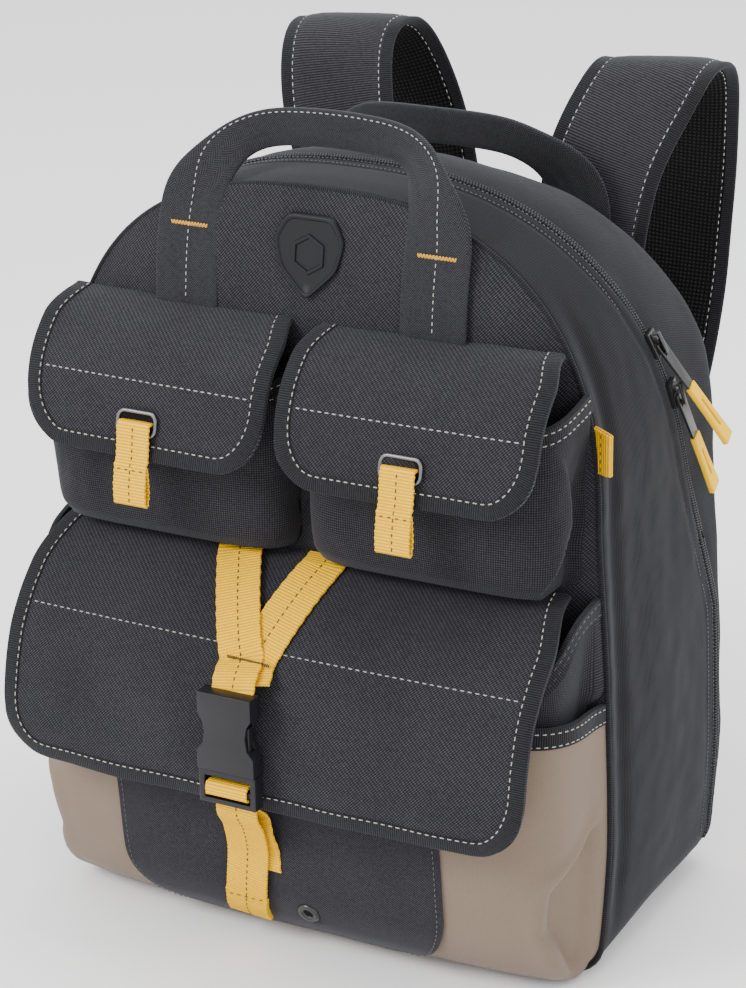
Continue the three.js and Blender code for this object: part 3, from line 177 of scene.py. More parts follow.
def body_loop(y, inset=0.0):
    """The bag's outline at one depth, from the middle of the base round by the right."""
    behind = max(0, y - (REAR_Y - REAR_BASE))
    edge = max(0, y - (REAR_Y - REAR_EDGE))
    inset += REAR_EDGE - math.sqrt(max(0, REAR_EDGE**2 - edge**2))
    corner = FRONT_CORNER + (REAR_CORNER - FRONT_CORNER) * float(ease((y - SEAM_Y) / REAR_Y))
    radius = max(corner - inset, 2)
    fall = TOP_FALL["rear"] if y > TOP_RIDGE_Y else TOP_FALL["front"]
    top = BODY_HEIGHT - fall * ((y - TOP_RIDGE_Y) / REAR_Y) ** 2 - inset
    base = (REAR_BASE - math.sqrt(max(0, REAR_BASE**2 - behind**2))) * 0.75
    low = base + inset
    flat = half_width(base + corner)[0] - inset - radius
    turn = np.radians(np.linspace(0, 90, 16))
    corner_line = np.column_stack([flat + radius * np.sin(turn), low + radius * (1 - np.cos(turn))])
    z = np.linspace(low + radius, ARCH_START, 30)[1:]
    side_line = np.column_stack([half_width(z) - inset, z])
    turn = np.radians(np.linspace(0, 90, 60)[1:])
    shape = 2 / ARCH_POWER
    shoulder = half_width(ARCH_START)[0] - inset
    arch_line = np.column_stack(
        [shoulder * np.cos(turn).clip(0) ** shape, ARCH_START + (top - ARCH_START) * np.sin(turn) ** shape]
    )
    half = np.vstack([[[0, low]], corner_line, side_line, arch_line])
    mirrored = half[1:-1][::-1] * [-1, 1]
    line = evenly(np.vstack([half, mirrored]), LOOP_LANES, closed=True)
    return np.column_stack([line[:, 0], np.full(LOOP_LANES, y), line[:, 1]])


LOOP_DEPTHS = np.concatenate([np.linspace(SEAM_Y, 66, LOOP_ROWS - 13), np.linspace(67, REAR_Y, 13)])
BODY_LOOPS = np.array([body_loop(y) for y in LOOP_DEPTHS])


def on_body(y):
    """A point of the gusset on each lane of the outline, at that lane's own depth."""
    y = np.broadcast_to(np.asarray(y, float), (LOOP_LANES,))
    i = np.clip(np.searchsorted(LOOP_DEPTHS, y) - 1, 0, LOOP_ROWS - 2)
    t = ((y - LOOP_DEPTHS[i]) / (LOOP_DEPTHS[i + 1] - LOOP_DEPTHS[i]))[:, None]
    lane = np.arange(LOOP_LANES)
    return BODY_LOOPS[i, lane] * (1 - t) + BODY_LOOPS[i + 1, lane] * t


def zip_depth(z):
    return ZIP_REAR_Y - ZIP_SLOPE * np.maximum(0, z - ZIP_BEND_Z)


def zip_gap(z):
    """Half the opening between the two cloth edges, which close up below the zip's end."""
    return 0.3 + (ZIP_WIDTH / 2 + 0.1) * ease((z - ZIP_LOWEST + 8) / 12)


def body_lane(share_of_gusset=None, from_zip=None):
    """Depth of each lane at a share of the way from the front seam to the zip, or a length from the zip."""
    point = on_body(0)
    for _ in range(4):
        zip_y = zip_depth(point[:, 2])
        if from_zip is None:
            y = SEAM_Y + (zip_y - zip_gap(point[:, 2]) - SEAM_Y) * share_of_gusset
        else:
            y = zip_y + from_zip
        point = on_body(np.clip(y, SEAM_Y, REAR_Y))
    return point


def panel_y(x, z):
    """The stuffed front panel's own depth."""
    x, z = np.asarray(x, float), np.asarray(z, float)
    rise = np.clip((z - ARCH_START) / (BODY_HEIGHT - ARCH_START), 0, 1)
    shoulder = half_width(np.minimum(z, ARCH_START).ravel()).reshape(z.shape)
    reach = np.maximum(shoulder * np.maximum(1 - rise**ARCH_POWER, 0) ** (1 / ARCH_POWER), 1)
    across = 1 - np.minimum(1, np.abs(x) / reach) ** 4
    along = 1 - np.minimum(1, np.abs(2 * z / BODY_HEIGHT - 1)) ** 6
    return SEAM_Y - PANEL_CROWN * across * along


def facing(grid, looped=False):
    """Unit normals of a grid whose rows run down and whose lanes run right, seen from outside."""
    down = np.gradient(grid, axis=0)
    along = (np.roll(grid, -1, 1) - np.roll(grid, 1, 1)) if looped else np.gradient(grid, axis=1)
    normal = np.cross(down, along)
    return normal / np.maximum(np.linalg.norm(normal, axis=2, keepdims=True), 1e-9)


def soft(points, size, amount, seed=0.0):
    """Gentle hollows and swellings: a smooth random height at each point."""
    flat = points.reshape(-1, 3) / size
    shift = Vector((seed * 7.3, seed * 3.1, seed * 5.7))
    heights = [noise.noise(Vector(p) + shift) for p in flat]
    return amount * np.array(heights).reshape(points.shape[:-1])[..., None]


def lay_mesh(name, points, faces, uvs, material, smooth_angle=50):
    """A mesh object from points in millimetres, faces and one pattern coordinate for each point."""
    mesh = bpy.data.meshes.new(name)
    mesh.from_pydata((np.asarray(points) * MM).tolist(), [], [tuple(map(int, f)) for f in faces])
    layer = mesh.uv_layers.new(name="cloth")
    corner = np.empty(len(mesh.loops), np.int32)
    mesh.loops.foreach_get("vertex_index", corner)
    layer.data.foreach_set("uv", (np.asarray(uvs, float)[corner] * MM).ravel())
    mesh.shade_smooth()
    mesh.set_sharp_from_angle(angle=math.radians(smooth_angle))
    for one in material if isinstance(material, (list, tuple)) else [material]:
        mesh.materials.append(one)
    piece = bpy.data.objects.new(name, mesh)
    bpy.context.scene.collection.objects.link(piece)
    return piece


def cloth(name, grid, thickness, material, looped=False, uv=None, lining=None):
    """A panel of cloth with real thickness behind its face grid, and its pattern laid in millimetres."""
    rows, lanes = grid.shape[:2]
    normal = facing(grid, looped)
    behind = grid - normal * thickness
    points = np.concatenate([grid.reshape(-1, 3), behind.reshape(-1, 3)])
    if uv is None:
        middle, left = lanes // 2, rows // 2
        down = np.linalg.norm(np.diff(grid[:, middle], axis=0), axis=1)
        along = np.linalg.norm(np.diff(grid[left], axis=0), axis=1)
        v = np.concatenate([[0], np.cumsum(down)])
        u = np.concatenate([[0], np.cumsum(along)])
        uv = np.stack(np.broadcast_arrays(u[None], v[:, None]), -1)
    uvs = np.concatenate([uv.reshape(-1, 2)] * 2)
    at = np.arange(rows * lanes).reshape(rows, lanes)
    if looped:
        at = np.column_stack([at, at[:, :1]])
    a, b, c, d = at[:-1, :-1], at[1:, :-1], at[1:, 1:], at[:-1, 1:]
    front = np.stack([a, b, c, d], -1).reshape(-1, 4)
    off = rows * lanes
    faces = [front, front[:, ::-1] + off]
    for edge, flip in ((at[0], False), (at[-1], True)):
        rim = np.stack([edge[:-1], edge[1:], edge[1:] + off, edge[:-1] + off], -1)
        faces.append(rim[:, ::-1] if flip else rim)
    if not looped:
        for edge, flip in ((at[:, 0], True), (at[:, -1], False)):
            rim = np.stack([edge[:-1], edge[1:], edge[1:] + off, edge[:-1] + off], -1)
            faces.append(rim[:, ::-1] if flip else rim)
    piece = lay_mesh(name, points, np.concatenate(faces), uvs, material)
    if lining is not None:
        inside = np.zeros(len(piece.data.polygons), np.int32)
        inside[len(front) : 2 * len(front)] = 1
        piece.data.materials.append(lining)
        piece.data.polygons.foreach_set("material_index", inside)
    return piece


def belong(piece, slot, *stands_for, body="bag"):
    """Every piece moves with a body of the frame and hides the frame's parts that it stands for. The slot is
    not used.
    """
    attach(piece, body)
    if stands_for:
        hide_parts(*stands_for)
    return piece


# Finishes are node materials whose weave is laid along the piece in real millimetres.
def finish(name, roughness, sheen=0.0, metallic=0.0, specular=0.5):
    material = bpy.data.materials.new(name)
    material.use_nodes = True
    shader = material.node_tree.nodes["Principled BSDF"]
    shader.inputs["Roughness"].default_value = roughness
    shader.inputs["Metallic"].default_value = metallic
    shader.inputs["Specular IOR Level"].default_value = specular
    if sheen:
        shader.inputs["Sheen Weight"].default_value = sheen
        shader.inputs["Sheen Roughness"].default_value = 0.45
        shader.inputs["Sheen Tint"].default_value = (0.8, 0.82, 0.9, 1)
    return material, material.node_tree, shader


def node(tree, kind, inputs=(), **settings):
    made = tree.nodes.new(kind)
    for key, value in settings.items():
        setattr(made, key, value)
    for key, value in dict(inputs).items():
        if isinstance(value, bpy.types.NodeSocket):
            tree.links.new(value, made.inputs[key])
        else:
            made.inputs[key].default_value = value
    return made


def maths(tree, operation, a, b=0.0, c=0.0):
    return node(tree, "ShaderNodeMath", {0: a, 1: b, 2: c}, operation=operation).outputs[0]


def blend(tree, share, low, high):
    mixed = node(tree, "ShaderNodeMix", data_type="RGBA")
    for socket, value in (("Factor_Float", share), ("A_Color", low), ("B_Color", high)):
        target = next(s for s in mixed.inputs if s.identifier == socket)
        if isinstance(value, bpy.types.NodeSocket):
            tree.links.new(value, target)
        else:
            target.default_value = value
    return next(s for s in mixed.outputs if s.identifier == "Result_Color")


def wave(tree, phase, pitch):
    """Ridges from 0 to 1, one in every pitch millimetres of the phase, which is in metres."""
    turns = maths(tree, "MULTIPLY", phase, 2 * math.pi / (pitch * MM))
    return maths(tree, "MULTIPLY_ADD", maths(tree, "SINE", turns), 0.5, 0.5)


def cloth_axes(tree):
    uv = node(tree, "ShaderNodeUVMap", uv_map="cloth").outputs["UV"]
    split = node(tree, "ShaderNodeSeparateXYZ", {0: uv})
    return split.outputs["X"], split.outputs["Y"]


def patches(tree, size, detail=3.0, roughness=0.55):
    place = node(tree, "ShaderNodeTexCoord").outputs["Object"]
    cloud = node(tree, "ShaderNodeTexNoise", {"Vector": place, "Scale": 1 / (size * MM), "Detail": detail})
    cloud.inputs["Roughness"].default_value = roughness
    return cloud.outputs["Fac"]


def raise_surface(tree, shader, height, depth):
    bump = node(tree, "ShaderNodeBump", {"Height": height, "Strength": 1.0, "Distance": depth * MM})
    tree.links.new(bump.outputs["Normal"], shader.inputs["Normal"])


def woven(name, dark, light, pitch, kind="twill", relief=0.12, roughness=0.86, sheen=0.25, clouds=0.5):
    """Cloth: twill has diagonal ribs, plain has crossed threads, ribbed has cords across the run."""
    material, tree, shader = finish(name, roughness, sheen, specular=0.12)
    u, v = cloth_axes(tree)
    if kind == "twill":
        ridge = wave(tree, maths(tree, "ADD", u, v), pitch * math.sqrt(2))
        cross = wave(tree, maths(tree, "SUBTRACT", u, v), pitch * 2.3)
        thread = maths(tree, "MULTIPLY", ridge, maths(tree, "MULTIPLY_ADD", cross, 0.7, 0.3))
    elif kind == "plain":
        thread = maths(tree, "MULTIPLY", wave(tree, u, pitch), wave(tree, v, pitch))
    elif kind == "herringbone":
        zigzag = maths(tree, "PINGPONG", u, 4.2 * MM)
        thread = wave(tree, maths(tree, "ADD", v, zigzag), pitch)
    else:
        thread = wave(tree, v, pitch)
    uneven = maths(tree, "MULTIPLY_ADD", patches(tree, 1.8, 2.0), 1.6, 0.2)
    worn = maths(tree, "MULTIPLY_ADD", patches(tree, 60, 4.0), clouds * 2, 1 - clouds)
    share = maths(tree, "MULTIPLY", thread, maths(tree, "MULTIPLY", uneven, worn))
    tree.links.new(blend(tree, share, (*dark, 1), (*light, 1)), shader.inputs["Base Color"])
    raise_surface(tree, shader, thread, relief)
    return material


CHARCOAL = (0.006, 0.0058, 0.007)
plain_cloth = woven("black_plain_weave", CHARCOAL, (0.042, 0.0412, 0.048), 1.3, "plain", 0.14, sheen=0.1)
# the gusset and the back take the plain weave with a darker light thread: painted shade for the faces turned
# from the light
shaded_gusset_cloth = woven("black_plain_weave_painted_shade", CHARCOAL, (0.013, 0.0128, 0.015), 1.3, "plain", 0.14, sheen=0.1)
TWILL_DARK, TWILL_LIGHT = (0.0045, 0.0044, 0.0055), (0.05, 0.049, 0.058)
twill_cloth = woven("black_twill", TWILL_DARK, TWILL_LIGHT, 1.15, "twill", 0.16, sheen=0.12)
smooth_twill = woven("smooth_twill", CHARCOAL, (0.046, 0.045, 0.0525), 0.9, "twill", 0.06, sheen=0.12)
binding_tape = woven(
    "ribbed_binding", (0.004, 0.004, 0.0045), (0.022, 0.022, 0.025), 1.25, "ribbed", 0.2, sheen=0.1
)
# the dark lining of the pockets and flaps, also laid in the eyelet slots and the drain hole as painted shade
lining_and_shade_cloth = woven(
    "dark_lining_and_painted_shade", (0.004, 0.004, 0.005), (0.012, 0.012, 0.014), 1.2, "plain", 0.05, sheen=0.0
)


def sweep(name, path, across, profile, material, facing_out=None, closed=False):
    """A strip with one cross section swept along a path. The profile's columns are the offset to the
    side and the offset outwards, one outline or one for each station of the path."""
    path = np.asarray(path, float)
    count = len(path)
    tangent = (np.roll(path, -1, 0) - np.roll(path, 1, 0)) if closed else np.gradient(path, axis=0)
    tangent = unit(tangent)
    across = np.broadcast_to(np.asarray(across, float), path.shape).copy()
    across -= tangent * (across * tangent).sum(1, keepdims=True)
    across = unit(across)
    out = np.cross(tangent, across) if facing_out is None else np.broadcast_to(facing_out, path.shape)
    profile = np.broadcast_to(np.asarray(profile, float), (count, *np.shape(profile)[-2:]))
    points = (
        path[:, None]
        + across[:, None] * profile[..., :1]
        + out[:, None] * profile[..., 1:]
    )
    sides = profile.shape[1]
    run = length_along(path)
    uv = np.stack(np.broadcast_arrays(profile[..., 0], run[:, None]), -1)
    at = np.arange(count * sides).reshape(count, sides)
    if closed:
        at = np.vstack([at, at[:1]])
    a, b = at[:-1], at[1:]
    faces = np.stack([a, np.roll(a, -1, 1), np.roll(b, -1, 1), b], -1).reshape(-1, 4).tolist()
    if not closed:
        faces += [at[0][::-1].tolist(), at[-1].tolist()]
    piece = lay_mesh(name, points.reshape(-1, 3), faces, uv.reshape(-1, 2), material)
    work = bmesh.new()
    work.from_mesh(piece.data)
    bmesh.ops.recalc_face_normals(work, faces=work.faces)
    work.to_mesh(piece.data)
    work.free()
    return piece


def stitches(name, lines, material, length=2.6, gap=1.6, width=0.66, height=0.45):
    """Rows of top stitching: each line is a path and the way out of the cloth along it."""
    points, faces, uvs = [], [], []
    shape = np.array([
        (-0.5, 0, -0.3), (-0.32, -1, 0), (-0.32, 0, 1), (-0.32, 1, 0),
        (0.32, -1, 0), (0.32, 0, 1), (0.32, 1, 0), (0.5, 0, -0.3),
    ])
    sides = (
        (0, 2, 1), (0, 3, 2), (1, 2, 5, 4), (2, 3, 6, 5), (4, 5, 7), (5, 6, 7), (0, 1, 3), (4, 7, 6),
        (1, 4, 6, 3),
    )
    for path, out in lines:
        path = np.asarray(path, float)
        out = np.broadcast_to(np.asarray(out, float), path.shape)
        run = length_along(path)
        count = max(1, int(run[-1] / (length + gap)))
        middle = (np.arange(count) + 0.5) * run[-1] / count

        def read(at, values=path, run=run):
            return np.column_stack([np.interp(at, run, values[:, k]) for k in range(3)])

        place = read(middle)
        along = read(middle + length / 2) - read(middle - length / 2)
        along = unit(along)
        up = read(middle, out)
        up = unit(up)
        side = np.cross(along, up)
        for k in range(count):
            base = len(points)
            for s, w, h in shape:
                flat_part = along[k] * s * length + side[k] * w * width / 2
                points.append(place[k] + flat_part + up[k] * h * height)
                uvs.append((w, s * length))
            faces += [tuple(base + i for i in f) for f in sides]
    return lay_mesh(name, points, faces, uvs, material, 80)


def thread(name, colour):
    material, tree, shader = finish(name, 0.6, 0.1)
    u, v = cloth_axes(tree)
    twist = wave(tree, maths(tree, "ADD", u, v), 0.7)
    dark = tuple(c * 0.62 for c in colour)
    tree.links.new(blend(tree, twist, (*dark, 1), (*colour, 1)), shader.inputs["Base Color"])
    raise_surface(tree, shader, twist, 0.1)
    return material


cream_thread = thread("cream_thread", (0.5, 0.48, 0.42))
grey_thread = thread("grey_thread", (0.09, 0.09, 0.095))


# The gusset's cloth rolls off the front seam and lies slack behind it. Beside the zip it is turned
# under and topstitched.
GUSSET_ROWS = 46
ROLL = 4.5
shares = np.linspace(0, 1, GUSSET_ROWS) ** 1.15
gusset = np.array([body_lane(share_of_gusset=share) for share in shares])
gusset_out = facing(gusset, looped=True)
from_seam = gusset[..., 1] - SEAM_Y
to_zip = (zip_depth(gusset[..., 2]) - zip_gap(gusset[..., 2])) - gusset[..., 1]
flank = ease((np.abs(gusset[..., 0]) - 120) / 40) * ease(gusset[..., 2] / 60)
roll = ROLL - np.sqrt(np.maximum(0, ROLL**2 - np.maximum(0, ROLL - from_seam) ** 2))
valley = 2.2 * np.exp(-(((from_seam - 15) / 6.5) ** 2)) * flank
swell = 2.4 * np.sin(np.clip(from_seam / 130, 0, 1) * math.pi) * flank
hem = 0.7 * np.exp(-(((to_zip - 9) / 1.8) ** 2)) + 0.5 * np.exp(-((to_zip / 1.2) ** 2))
slack = soft(gusset * [1, 1, 0.45], 38, 1.2, 1) * flank[..., None]
height = (swell - roll - valley - hem)[..., None] + slack
height = height + soft(gusset, 12, 0.5, 2) * flank[..., None]
on_floor = ease((gusset[..., 2] - 2) / 22)[..., None]
gusset = gusset + gusset_out * height * on_floor
lane_run = length_along(gusset[20])
gusset_uv = np.stack(np.broadcast_arrays(lane_run[None], from_seam), -1)
front_gusset = cloth("front_gusset", gusset, 1.2, shaded_gusset_cloth, looped=True, uv=gusset_uv)
belong(front_gusset, "black_fabric")

PANEL_SHARES = np.sqrt(np.linspace(0.0004, 1, 34))
rim = on_body(SEAM_Y)
panel = np.empty((len(PANEL_SHARES), LOOP_LANES, 3))
for row, share in enumerate(PANEL_SHARES):
    panel[row, :, 0] = rim[:, 0] * share
    panel[row, :, 2] = BODY_HEIGHT / 2 + (rim[:, 2] - BODY_HEIGHT / 2) * share
panel[..., 1] = panel_y(panel[..., 0], panel[..., 2])
inside = ease((1 - PANEL_SHARES) / 0.1)[:, None]
panel[..., 1] -= 0.4 * inside + (soft(panel, 40, 1.4, 3)[..., 0] + soft(panel, 14, 0.4, 4)[..., 0]) * inside
panel_uv = np.stack([panel[..., 0], -panel[..., 2]], -1)
front_panel = cloth("front_panel", panel, 1.2, twill_cloth, looped=True, uv=panel_uv)
belong(front_panel, "black_fabric", "front_shell")

# A cord is sewn into the seam between the two, covered in the same black cloth.
cord_turn = np.radians(np.arange(0, 360, 45))
CORD_RADIUS = 1.5
cord_round = np.column_stack([np.cos(cord_turn), np.sin(cord_turn)]) * CORD_RADIUS
seam_cord = sweep(
    "seam_cord", rim + (0, 0.4, CORD_RADIUS * 0.7) * (np.abs(rim[:, 2:]) < 1), (0, 1, 0), cord_round,
    binding_tape, closed=True,
)
belong(seam_cord, "black_fabric")

gusset_stitch = []
for beside in (-4.6, -11.5):
    line = body_lane(from_zip=beside)
    kept = line[line[:, 2] > ZIP_LOWEST + 4]
    start = int(np.argmax(np.linalg.norm(np.diff(kept, axis=0), axis=1))) + 1
    kept = np.roll(kept, -start, axis=0)
    out = kept * [1, 0, 1] - [0, 0, 190]
    out = unit(out)
    gusset_stitch.append((kept + out * 0.5, out))
zip_stitches = stitches("zip_stitches", gusset_stitch, grey_thread, 1.7, 0.9, 0.7, 0.4)
belong(zip_stitches, "black_fabric")


# The rear half of the bag: the other side of the gusset and the back panel that lies against the
# wearer, the same plain cloth painted dark for shade as on the gusset, with a soft rounded edge all round.
REAR_SHARES = np.linspace(0, 1, 14)
flank_rows = []
for share in REAR_SHARES:
    point = on_body(REAR_Y - REAR_EDGE)
    for _ in range(4):
        near = zip_depth(point[:, 2]) + zip_gap(point[:, 2])
        point = on_body(near + (REAR_Y - REAR_EDGE - near) * share)
    flank_rows.append(point)
for turn in np.radians(np.linspace(8, 90, 12)):
    flank_rows.append(on_body(REAR_Y - REAR_EDGE + REAR_EDGE * math.sin(turn)))
rear_rim = flank_rows[-1]
for share in np.linspace(0.94, 0.02, 24):
    row = rear_rim.copy()
    row[:, 0] *= share
    row[:, 2] = BODY_HEIGHT / 2 + (rear_rim[:, 2] - BODY_HEIGHT / 2) * share
    flank_rows.append(row)
rear = np.array(flank_rows)
rear_out = facing(rear, looped=True)
quiet = ease((rear[..., 2] - 2) / 24) * ease((rear[..., 1] - zip_depth(rear[..., 2]) - 3) / 8)
rear += rear_out * (soft(rear, 45, 1.6, 5) + soft(rear, 15, 0.4, 6)) * quiet[..., None]
on_panel = np.arange(len(rear)) > 25
rear_uv = np.where(
    on_panel[:, None, None],
    np.stack([rear[..., 0], -rear[..., 2]], -1),
    np.stack(np.broadcast_arrays(lane_run[None], rear[..., 1] - SEAM_Y), -1),
)
rear_body = cloth("rear_body", rear, 1.2, shaded_gusset_cloth, looped=True, uv=rear_uv)
belong(rear_body, "black_fabric", "rear_shell")


# The zip: two rows of black nylon coil side by side, closed, between tapes that are sewn under the
# gusset's edges. It stops low on each side.
# the coil is black nylon, and its ribs have lighter tops: a painted highlight along each tooth
coil_plastic_painted_highlights = woven("zip_coil", (0.003, 0.003, 0.004), (0.06, 0.06, 0.066), 1.7, "ribbed", 0.5, 0.4, 0.0)
tape_cloth = woven("zip_tape", (0.008, 0.008, 0.009), (0.02, 0.02, 0.022), 0.8, "plain", 0.05)


def zip_line(beside):
    line = body_lane(from_zip=beside)
    line = line[line[:, 2] > ZIP_LOWEST]
    start = int(np.argmax(np.linalg.norm(np.diff(line, axis=0), axis=1))) + 1
    return evenly(np.roll(line, -start, axis=0), 420)


def out_of_bag(line):
    along = np.gradient(line, axis=0)
    out = np.cross((0, 1, 0), along)
    return unit(out)


half_turn = np.radians(np.linspace(0, 180, 7))
for beside, side_name in ((-1.25, "front"), (1.25, "rear")):
    line = zip_line(beside)
    out = out_of_bag(line)
    out *= np.sign((out * (line * [1, 0, 1] - [0, 0, 150])).sum(1, keepdims=True))
    round_top = np.column_stack([np.cos(half_turn) * 1.15, np.sin(half_turn) * 1.1 - 0.3])
    coil = sweep(f"zip_coil_{side_name}", line + out * 0.5, (0, 1, 0), round_top, coil_plastic_painted_highlights, out)
    belong(coil, "zip_coil")
tape_line = zip_line(0)
tape_out = out_of_bag(tape_line)
tape_out *= np.sign((tape_out * (tape_line * [1, 0, 1] - [0, 0, 150])).sum(1, keepdims=True))
TAPE = [(-4.6, -1.6), (4.6, -1.6), (4.6, -0.9), (-4.6, -0.9)]
zip_tape = sweep("zip_tape", tape_line, (0, 1, 0), TAPE, tape_cloth, tape_out)
belong(zip_tape, "zip_coil", "zip_chain")


# Patch pockets are bowls of cloth sewn to the front panel, with no back wall. The two upper ones are
# plain black, the lower one is black, and a tan coated canvas wraps round the foot of the bag.
PLAN_POWER = 5


def plan_line(middle, half, front_y, count):
    turn = np.radians(np.linspace(0, 180, 161))
    sideways = np.cos(turn)
    x = middle + half * np.sign(sideways) * np.abs(sideways) ** (2 / PLAN_POWER)
    y = SEAM_Y + (front_y - SEAM_Y) * np.sin(turn).clip(0) ** (2 / PLAN_POWER)
    line = evenly(np.column_stack([x, y]), count)
    return line[::-1]


def pocket_grid(middle, width, base, top, rim_drop, reach, table, rows, lanes, rim_shape=None):
    """A pocket's face, rim first, from its left side round the front to its right."""
    heights = np.linspace(1, 0, rows) ** 1.15
    grid = np.empty((rows, lanes, 3))
    for row, height in enumerate(heights):
        far, wide = through(table, height)[0]
        front_y = SEAM_Y - reach * far
        line = plan_line(middle, width / 2 * wide, front_y, lanes)
        forward = np.clip((SEAM_Y - line[:, 1]) / (SEAM_Y - front_y), 0, 1)
        grid[row, :, :2] = line
        dip = rim_drop * forward if rim_shape is None else rim_drop * through(rim_shape, forward)[:, 0]
        grid[row, :, 2] = base + (top - dip - base) * height
    return grid


def pocket_floor(grid, rows=6):
    """The same pocket with its underside drawn in towards the bag."""
    last = grid[-1]
    centre = np.array([last[:, 0].mean(), SEAM_Y + 1, last[:, 2].mean()])
    shares = np.linspace(1, 0.03, rows + 1)[1:, None, None]
    return np.concatenate([grid, centre + (last - centre) * shares])


def clear_of_panel(grid, gap=0.6):
    """The pocket's sewn sides end on the front panel, and don't run into it."""
    clear = panel_y(grid[..., 0], np.clip(grid[..., 2], 0, BODY_HEIGHT)) - gap
    inside_bag = np.abs(grid[..., 0]) < half_width(grid[..., 2].ravel()).reshape(grid.shape[:2]) - 1
    grid[..., 1] = np.where(inside_bag, np.minimum(grid[..., 1], clear), grid[..., 1])
    return grid


def out_to_seam(grid, share=1.0, gap=1.2):
    """A pocket's side edges are sewn into the front seam, so they are drawn out to reach it."""
    below_corner = np.maximum(0, FRONT_CORNER - grid[..., 2])
    corner = FRONT_CORNER - np.sqrt(np.maximum(FRONT_CORNER**2 - below_corner**2, 0))
    seam_x = half_width(grid[..., 2].ravel()).reshape(grid.shape[:2]) - corner - gap
    spare = np.maximum(seam_x - np.abs(grid[..., 0]), 0) * share
    grid[..., 0] += np.sign(grid[..., 0]) * spare * ease((grid[..., 1] - SEAM_Y + 16) / 16)
    return grid


def rim_binding(name, grid, width, material, wall=1.6):
    """Ribbed tape folded over a pocket's rim, and the two rows of stitches that hold it."""
    rim_line = grid[0]
    down = grid[3] - grid[0]
    down = unit(down)
    out = facing(grid)[0]
    path = evenly(np.column_stack([rim_line, down, out]), 150)
    line, down, out = path[:, :3], path[:, 3:6], path[:, 6:]
    profile = [(-1.1, 0.2), (-0.8, 0.8), (width, 0.75), (width, 0.1)]
    profile += [(width, -wall - 0.1), (width, -wall - 0.7), (-0.8, -wall - 0.7), (-1.1, -wall)]
    tape = sweep(name, line, down, profile, material, out)
    rows = []
    for at in (1.6, width - 1.4):
        rows.append((line + down * at + out * 0.8, out))
    return tape, rows


UPPER_TABLE = ((0, 0.76, 0.95), (0.08, 0.86, 0.99), (0.45, 0.95, 1), (1, 1, 1))
LOWER_TABLE = (
    (0, 0.29, 0.96), (0.035, 0.46, 0.97), (0.12, 0.71, 0.98), (0.25, 0.85, 0.99),
    (0.52, 0.92, 1), (0.75, 1, 1.03), (1, 0.95, 1.06),
)
TAN_TABLE = (
    (0, 0.25, 0.955), (0.02, 0.385, 0.97), (0.05, 0.51, 0.98), (0.14, 0.73, 0.99),
    (0.24, 0.82, 1), (0.54, 0.9, 1.01), (0.8, 1, 1.02), (1, 0.94, 1.015),
)
UPPER_MIDDLE = 79.5
UPPER_SIZE = dict(width=149, base=226, top=328, rim_drop=10, reach=46)
BINDING, POCKET_CLOTH = 9, 1.4
for side, sign in (("left", -1), ("right", 1)):
    bowl = pocket_grid(sign * UPPER_MIDDLE, table=UPPER_TABLE, rows=40, lanes=130, **UPPER_SIZE)
    outward = facing(bowl)
    outer_side = ease((bowl[..., 0] * sign - UPPER_MIDDLE - 60) / 14)
    low = ease((318 - bowl[..., 2]) / 60)
    # the side folds in behind the front corner, in a line that swings back towards its top
    swing = -112 + 13 * np.sin((bowl[..., 2] - 236) / 70 * math.pi)
    fold = ease((bowl[..., 1] - swing) / 7) * ease((SEAM_Y + 2 - bowl[..., 1]) / 10)
    bowl[..., 0] -= sign * 9 * fold * outer_side * low
    slack = ease((bowl[..., 2] - 228) / 20) * ease((326 - bowl[..., 2]) / 14)
    bowl += outward * (soft(bowl, 26, 2.2, 7 + sign) + soft(bowl, 10, 0.5, 9)) * slack[..., None]
    bowl = clear_of_panel(pocket_floor(bowl))
    pocket = cloth(f"upper_pocket_{side}_cloth", bowl, POCKET_CLOTH, plain_cloth, lining=lining_and_shade_cloth)
    belong(pocket, "black_fabric", f"upper_pocket_{side}")
    tape, rows = rim_binding(f"upper_pocket_{side}_binding", bowl, BINDING, binding_tape)
    belong(tape, "black_fabric")
    belong(stitches(f"upper_pocket_{side}_stitches", rows, cream_thread), "black_fabric")

# its rim runs nearly level at the sides and dips at the front, under the large flap
LOWER_RIM = ((0, 0), (0.15, 0.02), (0.34, 0.08), (0.5, 0.2), (0.64, 0.38), (0.8, 0.6), (1, 0.82))
LOWER_SIZE = dict(width=302, base=3.6, top=219, rim_drop=50, reach=64)
lower = pocket_grid(0, table=LOWER_TABLE, rows=46, lanes=180, rim_shape=LOWER_RIM, **LOWER_SIZE)
slack = ease((lower[..., 2] - 20) / 40) * ease((SEAM_Y - 4 - lower[..., 1]) / 10)
lower += facing(lower) * soft(lower, 40, 1.6, 11) * slack[..., None]
lower = out_to_seam(lower, ease((lower[..., 2] - 158) / 10))
# under the canvas its sides draw in, which leaves room for the canvas's pleat
tucked = ease((140 - lower[..., 2]) / 30) * ease((np.abs(lower[..., 0]) - 100) / 30)
lower[..., 0] -= np.sign(lower[..., 0]) * 5 * tucked
lower = clear_of_panel(pocket_floor(lower))
lower_pocket = cloth("lower_pocket_cloth", lower, POCKET_CLOTH, plain_cloth, lining=lining_and_shade_cloth)
belong(lower_pocket, "black_fabric", "lower_pocket")
tape, rows = rim_binding("lower_pocket_binding", lower, BINDING, binding_tape)
belong(tape, "black_fabric")
belong(stitches("lower_pocket_stitches", rows, grey_thread), "black_fabric")

